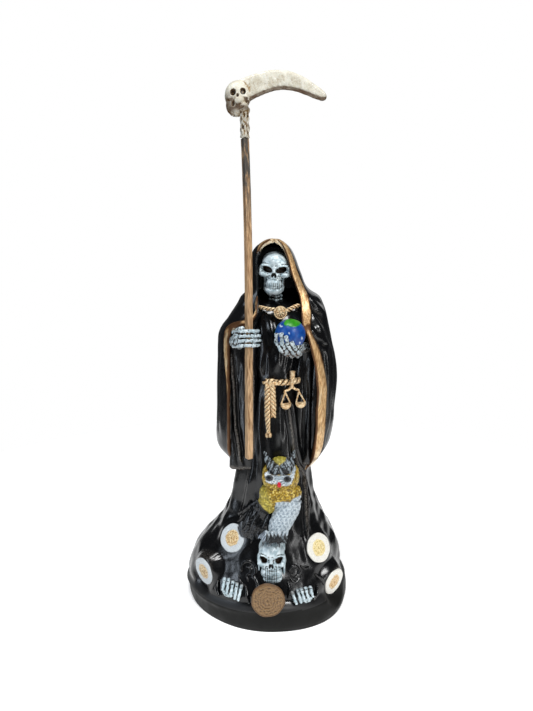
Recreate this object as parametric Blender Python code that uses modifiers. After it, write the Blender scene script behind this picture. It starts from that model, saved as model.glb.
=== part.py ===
"""Hooded skeleton saint with a scythe: a painted resin statuette 0.35 m tall, in Blender, metres, +Z up.

The figure is one casting: round base, spreading robe, hooded cloak, skull, hands, globe, belt, scales, owl,
small skull, coins and feet. The scythe's wooden shaft stands in a square hole through the fist and lifts out,
and the scythe's head, a crescent blade that grows out of a small skull, stands on the shaft's top end, end to end.
The origin is the middle of the underside; the face looks along -Y.
"""
import math

import bmesh
import bpy
from mathutils import Matrix, Vector

MM = 0.001

HEAD_CENTRE = Vector((6.6, -4.0, 320.0)) * MM
HEAD_WIDTH = 29.6 * MM
HEAD_HEIGHT = 41.0 * MM
SMALL_SKULL_CENTRE = Vector((3.4, -57.5, 59.0)) * MM
SMALL_SKULL_WIDTH = 27.0 * MM
SMALL_SKULL_HEIGHT = 41.0 * MM
BELT_HEIGHT = 221.5 * MM

SHAFT_SIDE = 4.9 * MM
SHAFT_TURN = math.radians(33.0)
SHAFT_BOTTOM = 156.0 * MM
SHAFT_TOP = 434.0 * MM
SHAFT_X = -17.0 * MM
SHAFT_BOW = -3.0 * MM
SHAFT_BOW_START = 290.0 * MM
SHAFT_FRONT = -57.0 * MM
SHAFT_LEAN = 0.088
FIT_GAP = 0.3 * MM

FIST_HEIGHT = 262.0 * MM
GLOBE_CENTRE = Vector((19.5, -48.0, 266.8)) * MM
GLOBE_RADIUS = 13.2 * MM
COIN_RADIUS = 12.6 * MM
COIN_THICKNESS = 3.2 * MM
FRONT_COIN_RADIUS = 15.0 * MM

FIGURE_VOXEL = 1.25 * MM
FIGURE_FACES = 7600
HEAD_VOXEL = 0.7 * MM
HEAD_FACES = 1300

# Each row of the robe is a height, the middle in x, the half width, and how far front and back reach in y.
ROBE_ROWS = [
    (-2.0, -0.2, 79.0, 78.6, 78.6),
    (5.0, -0.3, 80.6, 80.0, 80.0),
    (14.0, -0.5, 79.6, 79.4, 79.4),
    (21.0, -1.4, 77.4, 77.6, 78.0),
    (29.0, -1.6, 75.0, 74.6, 75.0),
    (38.0, -0.4, 72.4, 69.4, 71.0),
    (50.0, 1.8, 67.8, 62.4, 65.0),
    (62.0, 3.6, 60.2, 56.4, 58.0),
    (76.0, 5.6, 50.4, 50.4, 50.6),
    (90.0, 6.0, 43.6, 45.4, 45.4),
    (106.0, 5.8, 39.0, 41.4, 41.6),
    (126.0, 5.4, 36.0, 38.4, 38.6),
    (150.0, 6.2, 33.4, 36.0, 36.0),
    (180.0, 6.8, 30.4, 34.0, 33.4),
    (206.0, 7.6, 27.4, 32.6, 31.0),
    (222.0, 8.0, 26.2, 31.0, 30.0),
    (240.0, 8.0, 27.4, 31.6, 30.0),
    (262.0, 7.6, 28.6, 30.0, 30.0),
    (280.0, 7.2, 27.0, 25.6, 30.0),
    (292.0, 6.8, 19.0, 19.0, 27.0),
    (304.0, 6.6, 9.0, 12.0, 20.0),
]

# Each row of the cloak is a height, the outline's left and right ends in x, its front and back in y,
# where the left and right front edges stand in x, and how square the outline is.
CLOAK_ROWS = [
    (129.0, -29.0, 38.0, -31.0, 40.0, -25.0, 33.0, 2.3),
    (133.0, -35.5, 45.0, -35.0, 42.0, -30.0, 38.0, 2.3),
    (138.0, -40.5, 51.0, -37.6, 43.4, -33.0, 41.0, 2.3),
    (145.0, -46.6, 56.6, -39.6, 44.6, -35.4, 42.6, 2.4),
    (153.0, -50.4, 60.0, -40.6, 45.4, -36.4, 43.6, 2.4),
    (162.0, -50.8, 62.6, -41.2, 45.6, -36.4, 44.2, 2.4),
    (175.0, -50.0, 64.2, -41.8, 45.6, -36.4, 44.6, 2.5),
    (192.0, -49.4, 65.0, -42.4, 45.2, -36.4, 45.0, 2.5),
    (214.0, -48.6, 67.0, -43.2, 44.6, -36.2, 45.2, 2.5),
    (230.0, -48.2, 67.6, -44.0, 44.0, -36.2, 43.6, 2.5),
    (242.0, -48.0, 65.0, -45.0, 43.2, -36.0, 41.2, 2.5),
    (254.0, -47.6, 60.6, -45.6, 42.0, -35.8, 38.2, 2.5),
    (264.0, -46.8, 59.8, -45.4, 41.0, -35.2, 36.4, 2.5),
    (271.0, -45.2, 59.4, -43.6, 40.0, -32.0, 34.6, 2.5),
    (276.0, -42.0, 59.0, -38.0, 39.0, -17.0, 33.4, 2.5),
    (283.0, -36.8, 57.6, -31.0, 37.8, -10.4, 33.2, 2.5),
    (291.0, -31.0, 55.0, -27.0, 36.4, -9.6, 33.0, 2.6),
    (298.0, -25.0, 49.6, -25.4, 34.6, -9.8, 32.4, 2.7),
    (303.0, -16.0, 41.6, -25.0, 33.2, -10.2, 31.8, 2.9),
    (309.0, -12.6, 37.0, -25.0, 31.8, -10.6, 30.6, 3.1),
    (320.0, -12.8, 32.2, -24.6, 30.0, -11.0, 26.8, 3.2),
    (330.0, -13.0, 27.6, -23.6, 27.6, -11.0, 23.2, 3.0),
    (338.0, -12.6, 24.6, -22.6, 24.0, -8.6, 18.6, 2.8),
    (344.0, -9.6, 20.6, -21.0, 19.6, -1.0, 11.4, 2.6),
    (348.5, -5.0, 15.6, -17.0, 14.6, 4.6, 5.6, 2.4),
    (351.6, 1.0, 9.6, -10.0, 8.0, 5.2, 5.4, 2.2),
]
CLOAK_WALL = 5.0 * MM

# Folds of the robe: angle from the front (degrees, towards +X), half width in degrees, height in millimetres,
# and the heights between which the fold runs.
ROBE_FOLDS = [
    (14.0, 5.0, 2.4, 20.0, 218.0),
    (27.0, 4.5, 2.0, 40.0, 215.0),
    (-22.0, 6.0, 1.6, 60.0, 215.0),
    (-44.0, 8.0, 1.8, 30.0, 190.0),
    (-70.0, 9.0, 2.0, 20.0, 150.0),
    (55.0, 8.0, 2.2, 26.0, 170.0),
    (82.0, 9.0, 2.0, 20.0, 150.0),
    (112.0, 10.0, 2.4, 14.0, 140.0),
    (140.0, 9.0, 2.6, 12.0, 140.0),
    (168.0, 9.0, 2.4, 12.0, 140.0),
    (-166.0, 9.0, 2.6, 12.0, 140.0),
    (-136.0, 10.0, 2.4, 12.0, 140.0),
    (-104.0, 9.0, 2.2, 14.0, 140.0),
]


def remove_start_objects():
    for item in list(bpy.data.objects):
        bpy.data.objects.remove(item, do_unlink=True)


def new_collection(name):
    group = bpy.data.collections.new(name)
    bpy.context.scene.collection.children.link(group)
    return group


def paint(name, red, green, blue, roughness, metallic=0.0):
    material = bpy.data.materials.new(name)
    material.use_nodes = True
    shader = material.node_tree.nodes["Principled BSDF"]
    shader.inputs["Base Color"].default_value = (red, green, blue, 1.0)
    shader.inputs["Roughness"].default_value = roughness
    shader.inputs["Metallic"].default_value = metallic
    return material


def between(rows, height):
    """The row at one height, on a smooth curve through the given rows."""
    heights = [row[0] for row in rows]
    if height <= heights[0]:
        return rows[0][1:]
    if height >= heights[-1]:
        return rows[-1][1:]
    index = max(i for i, h in enumerate(heights[:-1]) if h <= height)
    low, high = rows[index], rows[index + 1]
    before = rows[max(index - 1, 0)]
    after = rows[min(index + 2, len(rows) - 1)]
    step = high[0] - low[0]
    share = (height - low[0]) / step
    values = []
    for k in range(1, len(low)):
        slope_low = (high[k] - before[k]) / (high[0] - before[0]) * step
        slope_high = (after[k] - low[k]) / (after[0] - low[0]) * step
        cubic = 2 * low[k] - 2 * high[k] + slope_low + slope_high
        square = -3 * low[k] + 3 * high[k] - 2 * slope_low - slope_high
        values.append(((cubic * share + square) * share + slope_low) * share + low[k])
    return values


def rise(value, start, end):
    """0 before start, 1 after end, and a smooth ramp between."""
    share = min(max((value - start) / (end - start), 0.0), 1.0)
    return share * share * (3 - 2 * share)


def power_circle(angle, power):
    """A unit circle that turns squarer as the power grows past 2; angle 0 is the front, -Y."""
    across = math.sin(angle)
    ahead = -math.cos(angle)
    reach = (abs(across) ** power + abs(ahead) ** power) ** (-1.0 / power)
    return across * reach, ahead * reach


def skin_rings(name, rings, closed_round, caps):
    """A skin between rings that all have the same number of points."""
    mesh = bmesh.new()
    rows = [[mesh.verts.new(point) for point in ring] for ring in rings]
    count = len(rows[0])
    last = count if closed_round else count - 1
    for lower, upper in zip(rows, rows[1:]):
        for i in range(last):
            j = (i + 1) % count
            mesh.faces.new((lower[i], lower[j], upper[j], upper[i]))
    if caps:
        mesh.faces.new(list(reversed(rows[0])))
        mesh.faces.new(rows[-1])
    bmesh.ops.recalc_face_normals(mesh, faces=mesh.faces[:])
    return add_object(name, mesh)


def add_object(name, mesh):
    data = bpy.data.meshes.new(name)
    mesh.to_mesh(data)
    mesh.free()
    item = bpy.data.objects.new(name, data)
    forms.objects.link(item)
    return item


def evaluated(item, name):
    """A new mesh object from an object with its modifiers applied; the old object goes."""
    bpy.context.view_layer.update()
    graph = bpy.context.evaluated_depsgraph_get()
    data = bpy.data.meshes.new_from_object(item.evaluated_get(graph), depsgraph=graph)
    mesh = bmesh.new()
    mesh.from_mesh(data)
    mesh.transform(item.matrix_world)
    bmesh.ops.remove_doubles(mesh, verts=mesh.verts[:], dist=0.00001)
    bpy.data.objects.remove(item, do_unlink=True)
    return add_object(name, mesh)


def ball(name, centre, radii, turn=(0.0, 0.0, 0.0), finer=False):
    mesh = bmesh.new()
    segments, rings = (32, 20) if finer else (16, 10)
    bmesh.ops.create_uvsphere(mesh, u_segments=segments, v_segments=rings, radius=1.0)
    spin = Matrix.Rotation(turn[2], 4, "Z") @ Matrix.Rotation(turn[1], 4, "Y") @ Matrix.Rotation(turn[0], 4, "X")
    stretch = Matrix.Diagonal(Vector(radii).to_4d())
    mesh.transform(Matrix.Translation(centre) @ spin @ stretch)
    return add_object(name, mesh)


def disc(name, centre, facing, radius, thickness, stretch=1.0):
    """A coin-like disc whose middle is at the centre and whose axis points along facing."""
    mesh = bmesh.new()
    bmesh.ops.create_cone(mesh, cap_ends=True, segments=24, radius1=radius, radius2=radius, depth=thickness)
    turn = Vector(facing).to_track_quat("Z", "Y").to_matrix().to_4x4()
    tall = Matrix.Diagonal((1.0, stretch, 1.0, 1.0))
    mesh.transform(Matrix.Translation(centre) @ turn @ tall)
    return add_object(name, mesh)


def rod(name, points, radii, round_steps=3):
    """A round rod through the points with its own radius at each, closed at both ends."""
    data = bpy.data.curves.new(name, "CURVE")
    data.dimensions = "3D"
    data.bevel_depth = 1.0
    data.bevel_resolution = round_steps
    data.use_fill_caps = True
    data.resolution_u = 4
    spline = data.splines.new("NURBS")
    spline.points.add(len(points) - 1)
    spline.use_endpoint_u = True
    spline.order_u = min(3, len(points))
    for point, place, radius in zip(spline.points, points, radii):
        point.co = Vector(place).to_4d()
        point.radius = radius
    item = bpy.data.objects.new(name + "_curve", data)
    forms.objects.link(item)
    return evaluated(item, name)


def mm(*values):
    return Vector(values) * MM


def base_swell(angle):
    """How much further the base reaches than its rows say: fuller at the front right, cut at the front left."""
    degrees = math.degrees(angle)
    return 4.4 * math.exp(-(((degrees - 42.0) / 26.0) ** 2)) - 1.6 * math.exp(-(((degrees + 38.0) / 26.0) ** 2))


def robe_point(angle, height_mm):
    centre, half, front, back = between(ROBE_ROWS, height_mm)
    across, ahead = power_circle(angle, 2.0 + 0.15 * rise(height_mm, 40.0, 80.0))
    depth = front if ahead < 0 else back
    grow = base_swell(angle) * (1 - rise(height_mm, 4.0, 26.0))
    for place, width, depth_mm, low, high in ROBE_FOLDS:
        away = (math.degrees(angle) - place + 180.0) % 360.0 - 180.0
        run = rise(height_mm, low, low + 25.0) * (1 - rise(height_mm, high - 25.0, high))
        grow += depth_mm * run * math.exp(-((away / width) ** 2))
    x = centre + across * (half + grow)
    y = ahead * (depth + grow)
    return mm(x, y, height_mm)


def robe_angle(x_mm, height_mm):
    """The angle at which the robe's front has this x."""
    low, high = -math.pi / 2, math.pi / 2
    for _ in range(30):
        middle = (low + high) / 2
        if robe_point(middle, height_mm).x < x_mm * MM:
            low = middle
        else:
            high = middle
    return low


def on_robe(x_mm, height_mm, lift_mm=0.0):
    """The point on the robe's front at this x and height, moved out towards -Y by the lift."""
    return robe_point(robe_angle(x_mm, height_mm), height_mm) - mm(0, lift_mm, 0)


def make_robe():
    heights = [row[0] for row in ROBE_ROWS]
    levels = []
    for low, high in zip(heights, heights[1:]):
        steps = max(1, round((high - low) / 5.0))
        levels += [low + (high - low) * i / steps for i in range(steps)]
    levels.append(heights[-1])
    around = 144
    rings = []
    for level in levels:
        ring = [robe_point(2 * math.pi * i / around - math.pi, level) for i in range(around)]
        rings.append(ring)
    return skin_rings("robe", rings, closed_round=True, caps=True)


def edge_angle(share, power):
    """The angle of the outline's front point whose x is this share of the half width."""
    side = min(abs(share), 0.995)
    ahead = (1 - side ** power) ** (1 / power)
    return math.copysign(math.atan2(side, ahead), share)


def cloak_point(across, height_mm):
    """A point of the cloak: across runs 0 to 1 from the left front edge round the back to the right one."""
    left, right, front, back, left_edge, right_edge, power = between(CLOAK_ROWS, height_mm)
    centre = (left + right) / 2
    half = (right - left) / 2
    start = edge_angle((left_edge - centre) / half, power)
    end = edge_angle((right_edge - centre) / half, power)
    middle_y = 2.0
    angle = start - across * (2 * math.pi - (end - start))
    side, ahead = power_circle(angle, power)
    reach = middle_y - front if ahead < 0 else back - middle_y
    folds = 0.0
    hang = rise(height_mm, 126.0, 150.0) * (1 - rise(height_mm, 225.0, 290.0))
    folds += 1.3 * hang * math.cos(across * 2 * math.pi * 13.0)
    x = centre + side * (half + folds)
    y = middle_y + ahead * (reach + folds)
    return mm(x, y, height_mm)


def make_cloak():
    low, high = CLOAK_ROWS[0][0], CLOAK_ROWS[-1][0]
    levels = [low + (high - low) * i / 90.0 for i in range(91)]
    across = 120
    rings = [[cloak_point(i / across, level) for i in range(across + 1)] for level in levels]
    sheet = skin_rings("cloak_sheet", rings, closed_round=False, caps=False)
    wall = sheet.modifiers.new("Wall", "SOLIDIFY")
    wall.thickness = CLOAK_WALL
    wall.offset = -1.0
    return evaluated(sheet, "cloak")


def make_cloak_lining():
    """What fills the cloak behind its front edges, so that the casting has no hollow."""
    low, high = CLOAK_ROWS[0][0] + 2.0, 350.0
    levels = [low + (high - low) * i / 60.0 for i in range(61)]
    around = 64
    rings = []
    for level in levels:
        left, right, front, back, left_edge, right_edge, power = between(CLOAK_ROWS, level)
        centre, half = (left + right) / 2, (right - left) / 2
        front_limit = -14.0 + 24.0 * rise(level, 296.0, 306.0)
        ring = []
        for i in range(around):
            side, ahead = power_circle(2 * math.pi * i / around, power)
            y = 2.0 + ahead * (abs(front if ahead < 0 else back) - 2.5)
            y = max(y, min(front_limit, back - 8.0))
            ring.append(mm(centre + side * (half - 2.5), y, level))
        rings.append(ring)
    return skin_rings("cloak_lining", rings, closed_round=True, caps=True)


def skull(name, centre, width, height, turn, finer=False):
    """A skull from overlapping forms: width across the cheekbones, height from crown to chin."""
    h = width / 2
    v = height / 2
    forms_of_skull = [
        ("crown", (0, 0.22, 0.36), (0.88, 1.00, 0.64)),
        ("brow", (0, -0.44, 0.20), (0.80, 0.38, 0.34)),
        ("middle", (0, -0.44, -0.24), (0.54, 0.44, 0.44)),
        ("mouth", (0, -0.46, -0.58), (0.50, 0.46, 0.26)),
        ("chin", (0, -0.42, -0.80), (0.46, 0.44, 0.20)),
        ("cheek_left", (-0.62, -0.32, -0.10), (0.38, 0.40, 0.17)),
        ("cheek_right", (0.62, -0.32, -0.10), (0.38, 0.40, 0.17)),
        ("jaw_left", (-0.50, 0.00, -0.54), (0.15, 0.46, 0.38)),
        ("jaw_right", (0.50, 0.00, -0.54), (0.15, 0.46, 0.38)),
    ]
    place = Matrix.Translation(centre) @ Matrix.Rotation(turn, 4, "Z")
    pieces = []
    for form, (x, y, z), (across, deep, tall) in forms_of_skull:
        piece = ball(name + "_" + form, (x * h, y * h, z * v), (across * h, deep * h, tall * v), finer=finer)
        piece.data.transform(place)
        pieces.append(piece)
    return pieces


def skull_hollows(centre, width, height, turn):
    """Where a skull is pressed in for its eyes and nose: place, radii and depth of each hollow."""
    h = width / 2
    v = height / 2
    place = Matrix.Translation(centre) @ Matrix.Rotation(turn, 4, "Z")
    inward = Matrix.Rotation(turn, 3, "Z") @ Vector((0, 1, 0))
    hollows = []
    for x, z, across, tall, deep in ((-0.36, 0.03, 0.26, 0.13, 0.30), (0.36, 0.03, 0.26, 0.13, 0.30),
                                     (0.0, -0.27, 0.13, 0.12, 0.22)):
        hollows.append((place @ Vector((x * h, -0.80 * h, z * v)), (across * h, 0.5 * h, tall * v),
                        inward * deep * h))
    return hollows


def press(item, place, radii, push):
    """Moves what lies within an ellipsoid by the push, full in its middle and fading to its rim."""
    for vertex in item.data.vertices:
        away = vertex.co - place
        share = (away.x / radii[0]) ** 2 + (away.y / radii[1]) ** 2 + (away.z / radii[2]) ** 2
        if share < 1.0:
            vertex.co += push * (1 - share)


def make_fist():
    """The right hand, closed round the shaft, with its wrist inside the sleeve."""
    pieces = [
        ball("fist_back", mm(-25.0, -47.0, FIST_HEIGHT / MM), mm(6.5, 8.5, 11.0)),
        rod("fist_wrist", [mm(-33, -16, 262), mm(-31, -30, 263), mm(-28, -42, 262)], [0.0075, 0.0065, 0.006]),
    ]
    for i in range(4):
        height = 270.6 - 4.9 * i
        reach = (-8.5, -7.5, -7.2, -8.0)[i]
        path = [mm(-25, -50, height), mm(-21, -57.5, height), mm(-13, -57.5, height - 0.4), mm(reach, -51, height)]
        pieces.append(rod("fist_finger", path, [0.0027] * 4))
    thumb = [mm(-22, -42, 270), mm(-15, -42, 273), mm(-10, -46, 272.5)]
    pieces.append(rod("fist_thumb", thumb, [0.0033, 0.0029, 0.0024]))
    pieces.append(ball("fist_palm", mm(-17.0, -45.0, 262.0), mm(7.5, 5.5, 9.5)))
    return pieces


def make_globe_hand():
    """The left hand under the globe, with five bony fingers up its front."""
    pieces = [
        ball("globe", GLOBE_CENTRE, (GLOBE_RADIUS,) * 3, finer=True),
        ball("hand_palm", GLOBE_CENTRE + mm(3, 2, -14), mm(11, 10, 6)),
        rod("hand_wrist", [mm(40, -14, 254), mm(36, -28, 253), mm(28, -42, 252)], [0.0085, 0.0075, 0.0062]),
    ]
    finger_ends = [(-14.0, 0.5), (-10.0, 3.4), (-5.2, 3.6), (0.4, 1.0)]
    for across, up in finger_ends:
        end = GLOBE_CENTRE + mm(across, -math.sqrt(max(GLOBE_RADIUS / MM, 14.2) ** 2 - across ** 2) * 0.82, up)
        middle = GLOBE_CENTRE + mm(across * 0.72, -12.6, -7.5)
        root = GLOBE_CENTRE + mm(across * 0.25 + 4.0, -7.0, -15.5)
        pieces.append(rod("hand_finger", [root, middle, end], [0.0026, 0.0024, 0.002]))
    thumb = [GLOBE_CENTRE + mm(13, -4, -14), GLOBE_CENTRE + mm(12, -11, -9), GLOBE_CENTRE + mm(6.5, -13.5, -5)]
    pieces.append(rod("hand_thumb", thumb, [0.0036, 0.003, 0.0024]))
    return pieces


def make_arms():
    """Forearms inside the sleeves, and the folds that hang inside each sleeve's opening."""
    pieces = [
        rod("left_forearm", [mm(-42, 6, 252), mm(-38, -16, 262), mm(-34, -33, 263)], [0.010, 0.009, 0.0075]),
        rod("right_forearm", [mm(56, 4, 247), mm(48, -16, 250), mm(38, -32, 252)], [0.011, 0.010, 0.008]),
    ]
    for x, y in ((-29.0, -15.0), (-23.0, -17.0), (40.0, -18.0)):
        pieces.append(rod("sleeve_fold", [mm(x, y, 140), mm(x, y, 190), mm(x, y + 2, 246)], [0.005] * 3))
    return pieces


def make_head():
    pieces = skull("head_skull", HEAD_CENTRE, HEAD_WIDTH, HEAD_HEIGHT, 0.0, finer=True)
    pieces.append(rod("neck", [mm(6.6, 2, 282), mm(6.6, -3, 292), mm(6.6, 0, 306)], [0.009, 0.0075, 0.008]))
    return pieces


def make_belt():
    """The rope belt with its hanging cords, and the pair of scales that hangs from it."""
    belt_mm = BELT_HEIGHT / MM
    belt = [on_robe(8.0 + 26.0 * math.sin(math.radians(15.0 * i)), belt_mm, 0.6) for i in range(-5, 6)]
    pieces = [
        rod("belt", belt, [0.0026] * len(belt)),
        ball("belt_knot", on_robe(0.0, belt_mm, 1.5), mm(6.5, 3.6, 3.8)),
        rod("cord_left", [on_robe(-1.0 + 0.4 * i, 219 - 12.0 * i, 1.0) for i in range(5)], [0.003] * 5),
        rod("cord_right", [on_robe(3.0 + 1.2 * i, 219 - 10.5 * i, 1.0) for i in range(4)], [0.0028] * 4),
        rod("scale_stem", [on_robe(22.4, 233 - 10.0 * i, 1.2) for i in range(3)], [0.0024, 0.0020, 0.0016]),
        rod("scale_beam", [on_robe(15.0 + 3.4 * i, 212.5, 0.4) for i in range(5)], [0.0014] * 5),
    ]
    for across in (16.4, 30.2):
        pieces.append(ball("scale_pan", on_robe(across, 199.5, 0.8), mm(4.7, 3.4, 2.8)))
    return pieces


def make_owl():
    """The owl in low relief on the robe's front, with its wing spread down to the left."""
    pieces = [
        ball("owl_head", mm(9.8, -46.0, 140.0), mm(16.0, 12.0, 15.0)),
        ball("owl_breast", mm(9.0, -46.0, 119.0), mm(17.0, 11.0, 17.0)),
        rod("owl_body", [mm(12, -46, 118), mm(11.5, -51, 98), mm(9, -57, 78)], [0.0125, 0.0115, 0.0095]),
        ball("owl_wing", mm(-13.0, -49.5, 90.0), mm(9.0, 5.0, 28.0), turn=(0.22, 0.62, 0.0)),
    ]
    for side in (-1, 1):
        base = mm(9.8 + side * 6.0, -50.0, 146.0)
        tip = mm(9.8 + side * 12.4, -44.5, 161.0)
        pieces.append(rod("owl_tuft", [base, (base + tip) / 2, tip], [0.0048, 0.0040, 0.0016]))
        pieces.append(ball("owl_face", mm(9.6 + side * 7.2, -55.6, 136.0), mm(6.4, 3.6, 5.8)))
    pieces.append(ball("owl_beak", mm(9.9, -59.6, 130.4), mm(2.2, 2.2, 3.4)))
    for i in range(6):
        across = -5.0 + 3.4 * i
        pieces.append(rod("owl_claw", [mm(across, -60, 86), mm(across - 0.6, -66.0, 78)], [0.0024, 0.0018], 2))
    return pieces


def surface_normal(angle, height_mm):
    step = 0.02
    across = robe_point(angle + step, height_mm) - robe_point(angle - step, height_mm)
    up = robe_point(angle, height_mm + 3.0) - robe_point(angle, height_mm - 3.0)
    return across.cross(up).normalized()


def make_coins():
    """Four coins laid on the robe and one on the base's lip, all facing out."""
    pieces = []
    places = [(-34.2, 72.6, 1.10), (-60.4, 40.6, 1.10), (48.6, 62.8, 1.16), (62.6, 31.4, 1.06)]
    for x, height, stretch in places:
        angle = robe_angle(x, height)
        facing = surface_normal(angle, height)
        spot = robe_point(angle, height) + facing * 0.6 * MM
        pieces.append(disc("coin", spot, facing, COIN_RADIUS, COIN_THICKNESS, stretch))
    pieces.append(disc("front_coin", mm(-0.2, -77.0, 29.0), (0, -1, 0.30), FRONT_COIN_RADIUS, 8.0 * MM))
    return pieces


def make_feet():
    """Five bony toes each side of the front coin, on the ends of two feet under the robe's hem."""
    pieces = []
    for middle, splay in ((-31.0, -0.5), (30.5, 0.5)):
        for i in range(5):
            across = middle + (i - 2) * 4.3
            front = -math.sqrt(77.0 ** 2 - across ** 2)
            top = mm(across - splay * 2, front + 8.0, 47.0)
            knee = mm(across, front - 0.5, 39.0)
            tip = mm(across + splay * 2, front - 3.0, 25.0)
            pieces.append(rod("toe", [top, knee, tip], [0.0022, 0.0026, 0.0020], 2))
        front = -math.sqrt(77.0 ** 2 - middle ** 2)
        pieces.append(ball("foot", mm(middle, front + 8.0, 31.0), mm(12.0, 8.0, 12.0)))
    return pieces


def join(name, pieces):
    mesh = bmesh.new()
    for piece in pieces:
        mesh.from_mesh(piece.data)
        bpy.data.objects.remove(piece, do_unlink=True)
    return add_object(name, mesh)


def fuse(name, pieces, voxel, faces, hollows=()):
    """One closed body from many overlapping ones, pressed in at its hollows and thinned to some triangles."""
    item = join(name + "_forms", pieces)
    remesh = item.modifiers.new("Fuse", "REMESH")
    remesh.mode = "VOXEL"
    remesh.voxel_size = voxel
    item = evaluated(item, name + "_fused")
    for place, radii, push in hollows:
        press(item, place, radii, push)
    relax = item.modifiers.new("Relax", "SMOOTH")
    relax.factor = 0.5
    relax.iterations = 2
    thin = item.modifiers.new("Thin", "DECIMATE")
    thin.use_collapse_triangulate = True
    thin.ratio = faces / (2.0 * len(item.data.polygons))
    item = evaluated(item, name)
    drop_crumbs(item)
    return item


def drop_crumbs(item):
    """Removes loose bits of a few faces that thinning can leave beside the body."""
    mesh = bmesh.new()
    mesh.from_mesh(item.data)
    unseen = set(mesh.verts)
    while unseen:
        crumb = {unseen.pop()}
        edge_of_crumb = list(crumb)
        while edge_of_crumb:
            vertex = edge_of_crumb.pop()
            near = {e.other_vert(vertex) for e in vertex.link_edges} - crumb
            crumb |= near
            edge_of_crumb += near
        unseen -= crumb
        if len(crumb) < 20:
            bmesh.ops.delete(mesh, geom=list(crumb), context="VERTS")
    mesh.to_mesh(item.data)
    mesh.free()


def shaft_centre(height):
    """The shaft leans back evenly and bows a little to the left near its top."""
    past = max(0.0, height - SHAFT_BOW_START) / (SHAFT_TOP - SHAFT_BOW_START)
    x = SHAFT_X + SHAFT_BOW * past ** 2
    y = SHAFT_FRONT + (height - SHAFT_BOTTOM) * SHAFT_LEAN
    return Vector((x, y, height))


def shaft_rings(side, low, high, steps):
    rings = []
    for i in range(steps + 1):
        centre = shaft_centre(low + (high - low) * i / steps)
        ring = []
        for corner in range(4):
            angle = SHAFT_TURN + math.pi / 4 + corner * math.pi / 2
            reach = side / math.sqrt(2)
            ring.append(centre + Vector((math.cos(angle) * reach, math.sin(angle) * reach, 0.0)))
        rings.append(ring)
    return rings


def make_shaft():
    rings = shaft_rings(SHAFT_SIDE, SHAFT_BOTTOM, SHAFT_TOP, 24)
    shaft = skin_rings("scythe_shaft", rings, closed_round=True, caps=True)
    edges = shaft.modifiers.new("Worn edges", "BEVEL")
    edges.width = 0.4 * MM
    edges.segments = 1
    edges.limit_method = "ANGLE"
    edges.angle_limit = math.radians(60.0)
    return shaft


def cut(item, tool):
    """Cuts a closed tool out of an object and keeps the tool among the cutters."""
    forms.objects.unlink(tool)
    cutters.objects.link(tool)
    tool.hide_render = True
    tool.display_type = "WIRE"
    difference = item.modifiers.new("Cut", "BOOLEAN")
    difference.operation = "DIFFERENCE"
    difference.solver = "EXACT"
    difference.object = tool


def cut_level(item, height):
    """Cuts off flat what lies below a height."""
    mesh = bmesh.new()
    bmesh.ops.create_cube(mesh, size=1.0)
    reach = 0.3
    mesh.transform(Matrix.Translation((0, 0, height - reach / 2)) @ Matrix.Scale(reach, 4))
    cut(item, add_object(item.name + "_level_cutter", mesh))


def make_figure():
    pieces = [make_robe(), make_cloak(), make_cloak_lining()]
    pieces.append(ball("hood_crown", mm(5.2, -1.0, 341.6), mm(10.5, 13.0, 10.2), finer=True))
    for more in (make_arms, make_fist, make_globe_hand, make_head, make_belt, make_owl, make_coins, make_feet):
        pieces += more()
    turn = math.radians(-6.0)
    pieces += skull("small_skull", SMALL_SKULL_CENTRE, SMALL_SKULL_WIDTH, SMALL_SKULL_HEIGHT, turn)
    pieces.append(disc("medallion", mm(11.3, -27.0, 284.6), (0, -1, 0.2), 6.2 * MM, 5.0 * MM))
    hollows = skull_hollows(HEAD_CENTRE, HEAD_WIDTH, HEAD_HEIGHT, 0.0)
    hollows += skull_hollows(SMALL_SKULL_CENTRE, SMALL_SKULL_WIDTH, SMALL_SKULL_HEIGHT, turn)
    figure = fuse("figure", pieces, FIGURE_VOXEL, FIGURE_FACES, hollows)
    cut_level(figure, 0.0)
    reach = SHAFT_SIDE + 2 * FIT_GAP
    rings = shaft_rings(reach, SHAFT_BOTTOM - 6.0 * MM, 300.0 * MM, 12)
    cut(figure, skin_rings("shaft_cutter", rings, closed_round=True, caps=True))
    return figure


def blade_outline():
    """The crescent: an outer arc from the small skull to the tip and an inner arc back."""
    outer = [(-24.0, 481.6), (-11.0, 486.4), (0.0, 489.0), (11.0, 489.8), (20.0, 488.0), (32.0, 481.6),
             (40.0, 476.4), (46.4, 471.4)]
    tip = [(48.6, 467.4), (46.6, 465.6)]
    inner = [(39.0, 467.0), (31.0, 470.0), (22.0, 474.0), (12.0, 475.4), (2.0, 473.6), (-9.0, 469.4),
             (-16.0, 464.0)]
    return outer + tip + inner


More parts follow.
